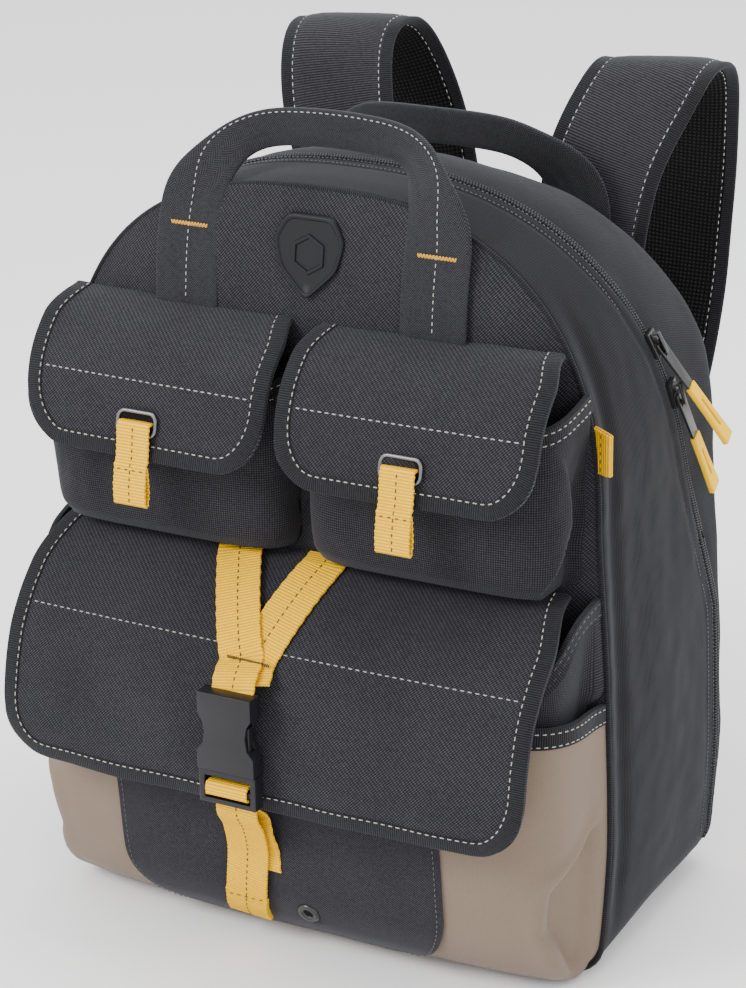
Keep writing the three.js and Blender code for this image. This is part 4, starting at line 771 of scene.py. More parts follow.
# Tan canvas has a smooth coating over a fine close weave. It is pleated at each side, low down, where
# the side pocket opens, and has a ribbed black tape along its top.
TAN_DARK, TAN = (0.155, 0.116, 0.086), (0.215, 0.163, 0.123)
tan_canvas = woven("tan_canvas", TAN_DARK, TAN, 0.7, "plain", 0.03, 0.72, 0.1, 0.35)
TAN_WIDTH, TAN_BASE, TAN_TOP, TAN_RIM_DROP, TAN_REACH = 321, 0.8, 160, -5, 70
wrap = pocket_grid(0, TAN_WIDTH, TAN_BASE, TAN_TOP, TAN_RIM_DROP, TAN_REACH, TAN_TABLE, 110, 330)
outward = facing(wrap)
at_side = ease((np.abs(wrap[..., 0]) - 138) / 12)
PLEAT = (
    (0, -96), (9, -102), (28, -115), (44, -126), (65, -125), (81, -114), (90, -99), (101, -82), (170, -60),
)
pleat_y = through(PLEAT, wrap[..., 2].ravel())[:, 0].reshape(wrap.shape[:2])
behind_pleat = wrap[..., 1] - pleat_y
hollow = 9.5 * ease(behind_pleat / 8) * ease((SEAM_Y - 1 - wrap[..., 1]) / 34) ** 0.8
lip = 2.2 * np.exp(-(((behind_pleat + 4) / 6) ** 2))
tall = ease((wrap[..., 2] - 3) / 12) * ease((112 - wrap[..., 2]) / 20)
slack = ease((wrap[..., 2] - 8) / 30) * ease((SEAM_Y - 2 - wrap[..., 1]) / 10)
slack *= ease((np.abs(wrap[..., 0]) - 92) / 16)
wrap += outward * ((lip - hollow) * tall * at_side)[..., None]
wrap += outward * (soft(wrap, 30, 1.7, 12) * slack[..., None])
wrap = clear_of_panel(pocket_floor(out_to_seam(wrap)))
wrap[..., 2] = np.maximum(wrap[..., 2], 0.6)
canvas = cloth("tan_wrap_canvas", wrap, 1.5, tan_canvas, lining=lining_and_shade_cloth)
belong(canvas, "tan_fabric", "tan_wrap")
tape, rows = rim_binding("tan_wrap_binding", wrap, 10, binding_tape)
belong(tape, "black_fabric")
belong(stitches("tan_wrap_stitches", rows, cream_thread), "tan_fabric")


# Flaps of stiffened black twill are sewn under the front panel and bound with ribbed tape on their
# three free edges. A cream stitch holds the tape, and another crosses the flap.
UPPER_FLAP_SHARES = (
    (0, 0), (0.03, 0.18), (0.1, 0.38), (0.2, 0.55), (0.32, 0.7), (0.45, 0.8), (0.62, 0.87), (1, 1),
)
LARGE_FLAP_SHARES = (
    (0, 0), (0.03, 0.17), (0.085, 0.32), (0.185, 0.52), (0.3, 0.7), (0.45, 0.85), (0.67, 0.96),
    (0.86, 1), (1, 0.98),
)
UPPER_FLAP = dict(flare=6, top=351, drop=73, root=89, front=143, corner=26, shares=UPPER_FLAP_SHARES)
UPPER_INNER, UPPER_OUTER = 10, 144
LARGE_FLAP = dict(
    left=-149, right=149, flare=7.5, top=223, drop=119, root=91, front=168, corner=27,
    shares=LARGE_FLAP_SHARES,
)
FLAP_EDGE_FALL = 5
FLAP_THICKNESS = 2.5
BINDING_WIDTH = 8.6


def flap_at(flap, drop, x):
    """A point of the flap's face at a share of its drop and a side offset."""
    drop, x = np.broadcast_arrays(np.asarray(drop, float), np.asarray(x, float))
    forward = through(flap["shares"], drop.ravel())[:, 0].reshape(drop.shape)
    y = -flap["root"] - (flap["front"] - flap["root"]) * forward
    y = y + FLAP_EDGE_FALL * (np.abs(x) / (BODY_WIDTH / 2)) ** 2 * forward
    return np.stack([x, y, flap["top"] - flap["drop"] * drop], -1)


def flap_edges(flap, drop):
    above = np.maximum(0, flap["corner"] - (1 - drop) * flap["drop"])
    trim = flap["corner"] - np.sqrt(np.maximum(0, flap["corner"] ** 2 - above**2))
    flare = ease(drop / 0.3) * flap["flare"] - trim
    return flap["left"] - flare, flap["right"] + flare


def flap_drops(flap, rows):
    """Shares of the drop an even length apart down the flap's curve."""
    fine = np.linspace(0, 1, 400)
    line = flap_at(flap, fine, 0.0)
    run = length_along(line)
    even = np.interp(np.linspace(0, run[-1], rows), run, fine)
    return even, run[-1]


def flap_wave(flap, points, seed):
    """Slight ripples, strongest towards the free edge."""
    drop = (flap["top"] - points[..., 2]) / flap["drop"]
    return soft(points * [1, 0.5, 1], 42, 2.6, seed) * ease(drop * 1.4 - 0.2)[..., None]


def flap_surface(flap, drop, x, seed, lift=0.0):
    point = flap_at(flap, drop, x)
    down = flap_at(flap, np.minimum(drop + 0.01, 1), x) - flap_at(flap, np.maximum(drop - 0.01, 0), x)
    out = np.cross(down, np.broadcast_to((1.0, 0, 0), down.shape))
    out /= np.linalg.norm(out, axis=-1, keepdims=True)
    return point + out * (flap_wave(flap, point, seed) + lift), out


def flap_border(flap, seed, inset, lift):
    """The line round the flap's three free edges at a width inside them, down, across and up."""
    fine, length = flap_drops(flap, 260)
    left, right = flap_edges(flap, fine)
    both = np.concatenate([left, right[::-1]])
    flat = np.column_stack([both, np.concatenate([fine, fine[::-1]]) * length])
    flat = evenly(flat, 420)
    along = np.gradient(flat, axis=0)
    along = unit(along)
    inward = np.column_stack([along[:, 1], -along[:, 0]])
    spot = flat + inward * inset
    lowest = length - inset
    drop = np.interp(np.clip(spot[:, 1], 0, lowest) / length, np.linspace(0, 1, 260), fine)
    point, out = flap_surface(flap, drop, spot[:, 0], seed, lift)
    return point, out


def bound_flap(name, flap, node_name, cross_height, seed, rows, lanes):
    drops, _ = flap_drops(flap, rows)
    left, right = flap_edges(flap, drops)
    across = np.linspace(0, 1, lanes)[None]
    x = left[:, None] + (right - left)[:, None] * across
    face, _ = flap_surface(flap, np.broadcast_to(drops[:, None], x.shape), x, seed)
    down = length_along(face[:, lanes // 2])
    uv = np.stack(np.broadcast_arrays(x, down[:, None]), -1)
    panel_cloth = cloth(f"{name}_cloth", face, FLAP_THICKNESS - 0.6, twill_cloth, uv=uv, lining=lining_and_shade_cloth)
    belong(panel_cloth, "black_fabric", node_name)

    edge, out = flap_border(flap, seed, 0.0, 0.0)
    inner, _ = flap_border(flap, seed, BINDING_WIDTH, 0.0)
    side = inner - edge
    profile = [(-0.9, -1.2), (-0.7, 0.3), (0.2, 0.8), (BINDING_WIDTH - 0.4, 0.75), (BINDING_WIDTH, 0.1)]
    profile += [(BINDING_WIDTH, -2.0), (BINDING_WIDTH - 0.4, -2.7), (0.2, -2.7), (-0.7, -2.3)]
    tape = sweep(f"{name}_binding", edge, side, profile, binding_tape, out)
    belong(tape, "black_fabric")

    stitch, out = flap_border(flap, seed, BINDING_WIDTH - 1.1, 0.85)
    cross_drop = (flap["top"] - cross_height) / flap["drop"]
    edges = flap_edges(flap, np.array([cross_drop]))
    x = np.linspace(edges[0][0] + BINDING_WIDTH + 1, edges[1][0] - BINDING_WIDTH - 1, 60)
    cross, cross_out = flap_surface(flap, np.full(60, cross_drop), x, seed, 0.1)
    rows_of_thread = [(stitch, out), (cross, cross_out)]
    belong(stitches(f"{name}_stitches", rows_of_thread, cream_thread), "black_fabric")


UPPER_CROSS, LARGE_CROSS = 317, 185
FLAP_SIDES = {
    "left": {**UPPER_FLAP, "left": -UPPER_OUTER, "right": -UPPER_INNER},
    "right": {**UPPER_FLAP, "left": UPPER_INNER, "right": UPPER_OUTER},
}
for number, (side, flap) in enumerate(FLAP_SIDES.items()):
    bound_flap(f"upper_flap_{side}", flap, f"upper_flap_{side}", UPPER_CROSS, 20 + number, 44, 64)
bound_flap("large_flap", LARGE_FLAP, "large_flap", LARGE_CROSS, 23, 60, 120)


# Each upper flap has a wire eyelet set in its front. A yellow webbing pull comes out of it and hangs
# down, and its lower end is folded back behind itself into a loop and sewn at the step.
wire_metal, wire_tree, wire_shader = finish("dull_wire", 0.38, metallic=1.0)
wire_shader.inputs["Base Color"].default_value = (0.16, 0.16, 0.17, 1)
raise_surface(wire_tree, wire_shader, patches(wire_tree, 2.5, 4.0), 0.12)
YELLOW_DARK, YELLOW = (0.6, 0.29, 0.0), (0.9, 0.52, 0.0)
yellow_web = woven("yellow_webbing", YELLOW_DARK, YELLOW, 1.7, "ribbed", 0.22, 0.7, 0.0, 0.2)
dark_thread = thread("dark_thread", (0.06, 0.035, 0.01))
EYELET_WIDTH, EYELET_HEIGHT, EYELET_CORNER, WIRE = 25, 14, 5, 1.0
PULL_WIDTH, PULL_THICKNESS, PULL_STEP_Z = 20, 1.4, 273.5
# down the front of a pull and up behind it: the way back from the eyelet's middle, and the height
PULL_HANG = (
    (2.5, 296.6), (-2.2, 297), (-3.6, 293.5), (-4.6, 285), (-6, 277.2), (-7.4, 275.4), (-8.3, 270),
    (-9.6, 262), (-9.6, 256), (-8.2, 253.4), (-6.7, 256), (-5.6, 262), (-6, 270), (-6.2, 274.5),
)


def rounded_rect(width, height, corner, count):
    turn = np.radians(np.linspace(0, 90, 9))
    arc = np.column_stack([np.sin(turn), 1 - np.cos(turn)]) * corner
    quarter = np.array([[width / 2 - corner, -height / 2]]) + arc
    half = np.vstack([quarter, (quarter * [1, -1])[::-1]])
    return evenly(np.vstack([half, half[::-1] * [-1, 1]]), count, closed=True)


def webbing_profile(width, thickness, rolled=0.35):
    """Flat webbing with a slightly thicker woven edge."""
    half, thick = width / 2, thickness / 2
    top = [(-half, 0), (-half + rolled, thick), (-half + 2.4, thick * 0.86), (half - 2.4, thick * 0.86)]
    top += [(half - rolled, thick), (half, 0)]
    low = [(x, -y) for x, y in top[::-1][1:-1]]
    return np.array(top + low)


def webbing_run(rows, step=2.0):
    """Even stations along a strap: each row is a place and then a width and a thickness."""
    rows = np.asarray(rows, float)
    run = length_along(rows[:, :3])
    fine = through(np.column_stack([run, rows]), np.linspace(0, run[-1], 400))
    return evenly(fine, max(6, int(run[-1] / step)))


def webbing(name, rows, material, across=(1, 0, 0), step=2.0, edge_wave=0.25):
    line = webbing_run(rows, step)
    profile = np.array([webbing_profile(width, thickness) for width, thickness in line[:, 3:5]])
    ripple = np.sin(np.arange(len(line)) * 1.9)[:, None] * edge_wave
    profile[..., 0] += np.sign(profile[..., 0]) * ripple
    return sweep(name, line[:, :3], across, profile, material), line


for side in FLAP_SIDES:
    low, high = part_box(f"flap_eyelet_{side}")
    centre = (low + high) / 2 / MM
    ring = rounded_rect(EYELET_WIDTH - 2 * WIRE, EYELET_HEIGHT - 2 * WIRE, EYELET_CORNER - WIRE, 72)
    slope = (high.y - low.y - 2 * MM) / (high.z - low.z)
    path = np.column_stack([centre.x + ring[:, 0], centre.y + slope * ring[:, 1], centre.z + ring[:, 1]])
    turn = np.radians(np.arange(0, 360, 36))
    round_wire = np.column_stack([np.cos(turn), np.sin(turn)]) * (WIRE + 0.1)
    eyelet = sweep(f"eyelet_wire_{side}", path, (0, 1, 0), round_wire, wire_metal, closed=True)
    belong(eyelet, "grey_metal", f"flap_eyelet_{side}")

    # the turned edge of its slot, floored with dark lining inside the wire as painted shade for the slot's
    # depth
    inner = rounded_rect(EYELET_WIDTH - 3 * WIRE, EYELET_HEIGHT - 3 * WIRE, EYELET_CORNER - WIRE, 48)
    well = np.stack([inner * share for share in (1.0, 0.75, 0.4, 0.02)])
    depth = np.array([0.6, 1.6, 2.0, 2.1])[:, None] - 0.4
    well_y = centre.y + slope * well[..., 1] + depth * np.ones(48)
    well_grid = np.stack([centre.x + well[..., 0], well_y, centre.z + well[..., 1]], -1)
    slot_shade_well = cloth(f"eyelet_slot_{side}", well_grid[:, ::-1], 0.4, lining_and_shade_cloth, looped=True)
    belong(slot_shade_well, "black_fabric")

    rows = [(centre.x, centre.y + back_by, z, PULL_WIDTH, PULL_THICKNESS) for back_by, z in PULL_HANG]
    pull, line = webbing(f"pull_loop_{side}_webbing", rows, yellow_web, step=1.0)
    belong(pull, "yellow_webbing", f"pull_loop_{side}")
    face = line[: int(np.argmin(line[:, 2])) - 1, :3] - (0, 0.8, 0)
    seams = [(face[6:], (0, -1, 0))]
    step_row = face[np.argmin(np.abs(face[:, 2] - PULL_STEP_Z))]
    across_pull = np.column_stack([np.linspace(-9, 9, 12), np.zeros(12), np.zeros(12)])
    seams.append((step_row + across_pull, (0, -1, 0)))
    belong(stitches(f"pull_loop_{side}_stitches", seams, dark_thread, 2.2, 1.6, 0.7, 0.35), "yellow_webbing")


# The yoke: two yellow straps start under the large flap's root, lie over it and come together at a
# black bar tack. Real ones pass through the buckle's top slot, and these end just behind it.
YOKE_WIDTH, WEB_THICKNESS = 25, 1.5
YOKE_START, YOKE_TACK, YOKE_TACK_Z = 0.035, 0.36, 181
BUCKLE_X = -6
_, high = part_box("buckle_socket")
socket_high = high / MM
YOKES = {
    "right": dict(top=13, tack=-3, lift=1.5, end=[(0.5, 4.0, 173)]),
    "left": dict(top=-37, tack=-10, lift=3.6, end=[(-6.5, 3.6, 176), (-5, -1.6, 169), (-5, -1.2, 163.5)]),
}
YOKE_DROPS = np.linspace(0.012, YOKE_TACK, 22)
for side, yoke in YOKES.items():
    rows = []
    for drop in YOKE_DROPS:
        down = np.clip((drop - YOKE_START) / (YOKE_TACK - YOKE_START), 0, 1)
        x = yoke["top"] + (yoke["tack"] - yoke["top"]) * down**0.85
        point, out = flap_surface(LARGE_FLAP, np.array(drop), np.array(x), 23, yoke["lift"])
        rows.append((*point, YOKE_WIDTH, WEB_THICKNESS))
    for x, behind, z in yoke["end"]:
        rows.append((x, socket_high.y + behind, z, YOKE_WIDTH, WEB_THICKNESS))
    strap, line = webbing(f"yoke_strap_{side}_webbing", rows, yellow_web)
    belong(strap, "yellow_webbing", f"yoke_strap_{side}")
    along = np.gradient(line[:, :3], axis=0)
    out = np.cross(along, (1, 0, 0))
    out = unit(out)
    seam = [(line[:, :3] + out * 0.85, out)]
    yoke_stitches = stitches(f"yoke_strap_{side}_stitches", seam, dark_thread, 2.4, 1.7, 0.7, 0.35)
    belong(yoke_stitches, "yellow_webbing")
    if side == "left":
        tack_at = int(np.argmin(np.abs(line[:, 2] - YOKE_TACK_Z)))
        bar = line[tack_at, :3] + out[tack_at] * 0.9
        threads = []
        for k in range(44):
            x = -8 + 25 * k / 43
            lean = 0.9 if k % 2 else -0.9
            low_end = bar + (x, 0, -0.03 * x - lean)
            high_end = bar + (x + 0.5, 0, -0.03 * x + lean)
            threads.append(([low_end, high_end], out[tack_at]))
        belong(stitches("yoke_bar_tack", threads, dark_thread, 2.4, 0.1, 0.9, 0.6), "yellow_webbing")


# The centre panel is a double layer of black twill sewn on the front of the canvas, with round lower
# corners. A small black drain eyelet is set in it, low down.
CENTRE_HALF, CENTRE_LOW, CENTRE_TOP, CENTRE_CORNER, CENTRE_THICKNESS = 99, 9, 126, 38, 1.8
CENTRE_LIFT = CENTRE_THICKNESS + 0.4


def on_wrap(x, z, lift):
    """Points of the canvas face on the front of the bag, raised by a lift."""
    x, z = np.broadcast_arrays(np.asarray(x, float), np.asarray(z, float))

    def face(x, z):
        height = (z - TAN_BASE) / (TAN_TOP - TAN_RIM_DROP - TAN_BASE)
        far, wide = through(TAN_TABLE, height.ravel()).T.reshape(2, *z.shape)
        bow = (1 - np.minimum(1, np.abs(x) / (TAN_WIDTH / 2 * wide)) ** PLAN_POWER) ** (1 / PLAN_POWER)
        return np.stack([x, SEAM_Y - TAN_REACH * far * bow, z], -1)

    down = face(x, np.maximum(z - 0.4, TAN_BASE)) - face(x, z + 0.4)
    out = np.cross(down, face(x + 0.4, z) - face(x - 0.4, z))
    out /= np.linalg.norm(out, axis=-1, keepdims=True)
    return face(x, z) + out * lift, out


def centre_edge(z):
    under = np.maximum(0, CENTRE_LOW + CENTRE_CORNER - z)
    return CENTRE_HALF - CENTRE_CORNER + np.sqrt(np.maximum(0, CENTRE_CORNER**2 - under**2))


heights = CENTRE_LOW + (CENTRE_TOP - CENTRE_LOW) * (1 - np.cos(np.linspace(math.pi / 2, 0, 50))) ** 0.9
sideways = centre_edge(heights)[:, None] * np.linspace(-1, 1, 90)[None]
centre, centre_out = on_wrap(sideways, heights[:, None], CENTRE_LIFT)
edge_share = np.minimum(1, (centre_edge(heights)[:, None] - np.abs(sideways)) / 6)
rumple = soft(centre, 36, 0.9, 14) * ease(edge_share)[..., None]
centre += centre_out * (rumple - 0.5 * (1 - edge_share[..., None]))
run = length_along(centre[:, 45])
centre_uv = np.stack(np.broadcast_arrays(sideways, run[:, None]), -1)
centre_panel = cloth("centre_panel_cloth", centre, CENTRE_THICKNESS, smooth_twill, uv=centre_uv)
belong(centre_panel, "black_fabric", "centre_panel")
edge_z = np.concatenate([heights, heights[::-1]])
edge_x = np.concatenate([-centre_edge(heights), centre_edge(heights)[::-1]])
turn_in = np.clip((np.abs(edge_x) - CENTRE_HALF + CENTRE_CORNER) / CENTRE_CORNER, 0, 1)
stitch_z = np.maximum(edge_z, CENTRE_LOW + 4)
stitch_line, stitch_out = on_wrap(edge_x - np.sign(edge_x) * 3.2 * turn_in, stitch_z, CENTRE_LIFT)
seam = [(stitch_line, stitch_out)]
belong(stitches("centre_panel_stitches", seam, grey_thread, 2.2, 1.1, 0.6, 0.35), "black_fabric")

black_lacquer, lacquer_tree, lacquer_shader = finish("black_lacquer", 0.34, specular=0.6)
lacquer_shader.inputs["Base Color"].default_value = (0.008, 0.008, 0.009, 1)
raise_surface(lacquer_tree, lacquer_shader, patches(lacquer_tree, 3, 3.0), 0.05)
EYELET_RING, EYELET_X, EYELET_Z = 4.6, 16, 30
spot, spot_out = on_wrap(np.array(EYELET_X), np.array(EYELET_Z), CENTRE_LIFT)
turn = np.radians(np.arange(0, 360, 10))
level_axis = np.cross(spot_out, (0, 0, 1))
level_axis /= np.linalg.norm(level_axis)
upright_axis = np.cross(level_axis, spot_out)
spokes = np.cos(turn)[:, None] * level_axis + np.sin(turn)[:, None] * upright_axis
RING = [(-2.0, -0.3), (-1.5, 0.7), (-0.3, 1.35), (0.9, 1.2), (1.9, 0.2), (1.9, -0.3)]
drain = sweep("drain_ring", spot + spokes * EYELET_RING, spokes, RING, black_lacquer, spot_out, closed=True)
belong(drain, "zip_metal", "drain_eyelet")
# a disc of dark lining in the ring's middle is painted shade for the hole
hole = np.stack([spot + spokes * size + spot_out * 0.15 for size in (3.0, 1.6, 0.05)])
if facing(hole, True)[0, 0] @ spot_out < 0:
    hole = hole[:, ::-1]
drain_hole_shade = cloth("drain_hole_shade", hole, 0.3, lining_and_shade_cloth, looped=True)
belong(drain_hole_shade, "black_fabric")


# The side-release buckle is moulded black plastic. Its socket hangs on the yoke and its plug is on the
# lower strap. It stays fastened.
def moulded(node_name, material, slot, bevel=0.6, body="bag"):
    """A moulded or cast piece: the frame's own form with its edges rounded."""
    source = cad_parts[node_name]
    mesh = source.data.copy()
    mesh.materials.clear()
    mesh.materials.append(material)
    work = bmesh.new()
    work.from_mesh(mesh)
    bmesh.ops.remove_doubles(work, verts=work.verts, dist=0.01 * MM)
    bmesh.ops.dissolve_limit(work, angle_limit=math.radians(2), verts=work.verts, edges=work.edges)
    sharp = [e for e in work.edges if len(e.link_faces) == 2 and e.calc_face_angle(0) > math.radians(28)]
    bmesh.ops.bevel(
        work, geom=sharp, offset=bevel * MM, segments=2, profile=0.6, affect="EDGES", clamp_overlap=True
    )
    bmesh.ops.recalc_face_normals(work, faces=work.faces)
    work.to_mesh(mesh)
    work.free()
    mesh.shade_smooth()
    mesh.set_sharp_from_angle(angle=math.radians(38))
    piece = bpy.data.objects.new(f"{node_name}_form", mesh)
    bpy.context.scene.collection.objects.link(piece)
    piece.matrix_world = source.matrix_world
    return belong(piece, slot, node_name, body=body)


black_plastic, plastic_tree, plastic_shader = finish("moulded_black_plastic", 0.4, specular=0.3)
plastic_shader.inputs["Base Color"].default_value = (0.008, 0.008, 0.01, 1)
raise_surface(plastic_tree, plastic_shader, patches(plastic_tree, 0.8, 2.0), 0.03)
moulded("buckle_socket", black_plastic, "black_plastic", 0.7)
moulded("buckle_plug", black_plastic, "black_plastic", 0.6)


# The lower yellow strap is sewn, folded double, to the foot of the centre panel. It goes up behind the
# plug, forward over its bar and down again, and its loose end hangs behind it.
PLUG_MIDDLE_Y, PLUG_FOOT, PLUG_HALF = -174.4, 107.7, 4
LOOSE_THICKNESS = 1.4
BAR_MIDDLE, BAR_HALF = PLUG_FOOT + 8.5, 1.5
BAR_OFF = 0.3 + WEB_THICKNESS / 2


def strap_lie(z, lift):
    point, _ = on_wrap(np.array(0.0), np.array(float(z)), CENTRE_LIFT)
    return point[1] - lift


behind_plug, before_plug = PLUG_MIDDLE_Y + PLUG_HALF, PLUG_MIDDLE_Y - PLUG_HALF
rows = [
    (-24, strap_lie(16.5, 2.6), 16.5, YOKE_WIDTH, 3.2),
    (-21.6, strap_lie(26, 2.6), 26, YOKE_WIDTH, 3.2),
    (-19.6, strap_lie(34.5, 2.6), 34.5, YOKE_WIDTH + 0.5, 3.1),
    (-19.2, strap_lie(36, 2.9), 36, YOKE_WIDTH, WEB_THICKNESS),
    (-17.6, strap_lie(44, 3.4), 44, YOKE_WIDTH, WEB_THICKNESS),
    (-14.6, strap_lie(62, 4.2), 62, YOKE_WIDTH, WEB_THICKNESS),
    (-9.4, strap_lie(84, 3.75) - 10, 84, YOKE_WIDTH, WEB_THICKNESS),
    (-6.4, behind_plug + BAR_OFF + 0.5, 101, YOKE_WIDTH, WEB_THICKNESS),
    (BUCKLE_X, behind_plug + BAR_OFF, BAR_MIDDLE - 1, YOKE_WIDTH, WEB_THICKNESS),
    (BUCKLE_X, behind_plug + BAR_OFF + 0.15, BAR_MIDDLE + BAR_HALF, YOKE_WIDTH, WEB_THICKNESS),
    (BUCKLE_X, behind_plug - 0.8, BAR_MIDDLE + BAR_HALF + BAR_OFF + 1, YOKE_WIDTH, WEB_THICKNESS),
    (BUCKLE_X, before_plug + 0.8, BAR_MIDDLE + BAR_HALF + BAR_OFF + 1, YOKE_WIDTH, WEB_THICKNESS),
    (BUCKLE_X, before_plug - BAR_OFF, BAR_MIDDLE + BAR_HALF, YOKE_WIDTH, WEB_THICKNESS),
    (BUCKLE_X, before_plug - BAR_OFF, BAR_MIDDLE - BAR_HALF - 0.8, YOKE_WIDTH, WEB_THICKNESS),
    (BUCKLE_X, before_plug + 1.6, BAR_MIDDLE - BAR_HALF - BAR_OFF - 1.2, YOKE_WIDTH, WEB_THICKNESS),
]
lower_strap, line = webbing("front_strap_webbing", rows, yellow_web, step=0.9, edge_wave=0.15)
belong(lower_strap, "yellow_webbing", "front_strap")
along = np.gradient(line[:, :3], axis=0)
out = np.cross((1, 0, 0), along)
out = unit(out)
out *= np.where(np.arange(len(out)) < 3, np.sign(-out[:, 1]), 1)[:, None]
face = line[:, :3] + out * (line[:, 4:5] / 2 + 0.05)
strap_seams = [(face, out)]
fold_row = int(np.argmin(np.abs(line[: len(line) // 2, 2] - 35)))
across_strap = np.column_stack([np.linspace(-11.5, 11.5, 12), np.zeros(12), np.zeros(12)])
strap_seams.append((face[fold_row - 2] + across_strap, out[fold_row - 2]))
strap_stitches = stitches("front_strap_stitches", strap_seams, dark_thread, 2.4, 1.7, 0.7, 0.35)
belong(strap_stitches, "yellow_webbing")

rows = [
    (-5.8, behind_plug + 3.4, 103.2, YOKE_WIDTH - 1, LOOSE_THICKNESS),
    (-6.4, strap_lie(92, 3.75) - 8.5, 94, YOKE_WIDTH, LOOSE_THICKNESS),
    (-7.6, strap_lie(80, 3.75) - 4.0, 80, YOKE_WIDTH, LOOSE_THICKNESS),
    (-8.6, strap_lie(66, 1.6), 66, YOKE_WIDTH, LOOSE_THICKNESS),
    (-9, strap_lie(54, 1.1), 54, YOKE_WIDTH, LOOSE_THICKNESS),
]
loose_end, _ = webbing("front_strap_loose_end", rows, yellow_web)
belong(loose_end, "yellow_webbing")


# A shield-shaped patch of soft black rubber is sewn between the handle's feet. It is left bare but
# for a raised rim and a plain hexagon ring.
BADGE_WIDTH, BADGE_HEIGHT, BADGE_MIDDLE = 42, 44, 383
badge_rubber, rubber_tree, rubber_shader = finish("badge_rubber", 0.5, specular=0.2)
rubber_shader.inputs["Base Color"].default_value = (0.006, 0.006, 0.008, 1)
raise_surface(rubber_tree, rubber_shader, patches(rubber_tree, 1.2, 2.0), 0.04)
wide, tall = BADGE_WIDTH / 2, BADGE_HEIGHT / 2
SHIELD = [
    (0, -tall), (wide * 0.82, -tall * 0.25), (wide, tall * 0.45), (wide * 0.66, tall),
    (-wide * 0.66, tall), (-wide, tall * 0.45), (-wide * 0.82, -tall * 0.25),
]
shield = evenly(np.array(SHIELD), 140, closed=True)
for _ in range(18):
    shield = (np.roll(shield, 1, 0) + shield * 2 + np.roll(shield, -1, 0)) / 4
low_z, high_z = BADGE_MIDDLE - tall * 0.7, BADGE_MIDDLE + tall * 0.7
lean = (float(panel_y(0.0, np.array(high_z))) - float(panel_y(0.0, np.array(low_z)))) / (high_z - low_z)
reach_of = []
for share in (-1, -0.5, 0, 0.5, 1):
    reach_of.append(float(panel_y(0.0, np.array(BADGE_MIDDLE + share * tall))) - lean * share * tall)
badge_back = min(reach_of) + 0.3


def on_badge(flat, height):
    flat = np.asarray(flat, float)
    y = badge_back + lean * flat[..., 1] - height
    return np.stack([flat[..., 0], np.broadcast_to(y, flat.shape[:-1]), BADGE_MIDDLE + flat[..., 1]], -1)


BADGE_RINGS = (
    (1.0, -1.5), (1.0, 1.9), (0.985, 2.5), (0.955, 2.75), (0.915, 2.75),
    (0.885, 2.3), (0.87, 1.9), (0.6, 1.9), (0.3, 1.9), (0.002, 1.9),
)
badge_grid = np.stack([on_badge(shield * size, height) for size, height in BADGE_RINGS])
badge_patch = cloth("badge_patch", badge_grid[:, ::-1], 0.4, badge_rubber, looped=True)
belong(badge_patch, "badge_rubber", "badge")
turn = np.radians(np.arange(0, 360, 60) + 30)
hexagon = evenly(np.column_stack([np.cos(turn), np.sin(turn)]) * 9.5, 60, closed=True) + (0, 2)
hex_profile = [(-1.1, -0.4), (-0.8, 0.6), (0.8, 0.6), (1.1, -0.4)]
spokes = on_badge(hexagon, 0) - on_badge(np.array([(0, 2.0)]), 0)
ring_line = on_badge(hexagon, 2.2)
hex_ring = sweep("badge_ring", ring_line, spokes, hex_profile, badge_rubber, (0, -1, 0), closed=True)
belong(hex_ring, "badge_rubber")


# Two carrying handles of black herringbone webbing, sewn flat at their feet and folded double for the
# grip. A light stitch runs up their middle and along the fold, and gold bar tacks hold the front one.
HANDLE_X, HANDLE_WIDTH, GRIP_WIDTH, HANDLE_THICKNESS, GRIP_THICKNESS = 73, 38, 20, 2.2, 5
handle_web = woven(
    "herringbone_webbing", (0.006, 0.006, 0.007), (0.036, 0.036, 0.04), 1.3, "herringbone", 0.14, sheen=0.1
)
light_thread = thread("light_thread", (0.5, 0.5, 0.49))
gold_thread = thread("gold_thread", (0.85, 0.42, 0.03))


def relaxed(line, rounds):
    """The same line with its turns eased. Its ends stay."""
    line = line.copy()
    for _ in range(rounds):
        line[1:-1] = (line[:-2] + 2 * line[1:-1] + line[2:]) / 4
    return line


def handle_face(height):
    return float(panel_y(np.array(float(HANDLE_X)), np.array(float(height)))) - 0.7 - HANDLE_THICKNESS / 2


ON_REAR = REAR_Y + 0.6 + HANDLE_THICKNESS / 2
HANDLES = {
    "front_handle": [
        (1, handle_face(348), 348, 0), (1, handle_face(370), 370, 0), (1, handle_face(388), 388, 0),
        (1, -84.5, 402, 0), (0.95, -83, 413, 0.25), (0.86, -77, 424, 0.65), (0.75, -68, 434, 0.95),
        (0.58, -61, 440, 1), (0.34, -59, 442.5, 1), (0, -59, 443.5, 1),
    ],
    "rear_handle": [
        (1, ON_REAR, 338, 0), (1, ON_REAR, 362, 0), (1, ON_REAR + 1.5, 376, 0.05), (0.97, 80, 389, 0.2),
        (0.88, 72, 402, 0.6), (0.74, 61, 412, 0.95), (0.56, 53, 419, 1), (0.28, 48, 421.5, 1),
        (0, 46, 422, 1),
    ],
}
handle_turn = np.radians(np.linspace(0, 360, 28, endpoint=False))
handle_round = np.column_stack([
    np.sign(np.cos(handle_turn)) * np.abs(np.cos(handle_turn)) ** 0.35,
    np.sign(np.sin(handle_turn)) * np.abs(np.sin(handle_turn)) ** 0.55,
])
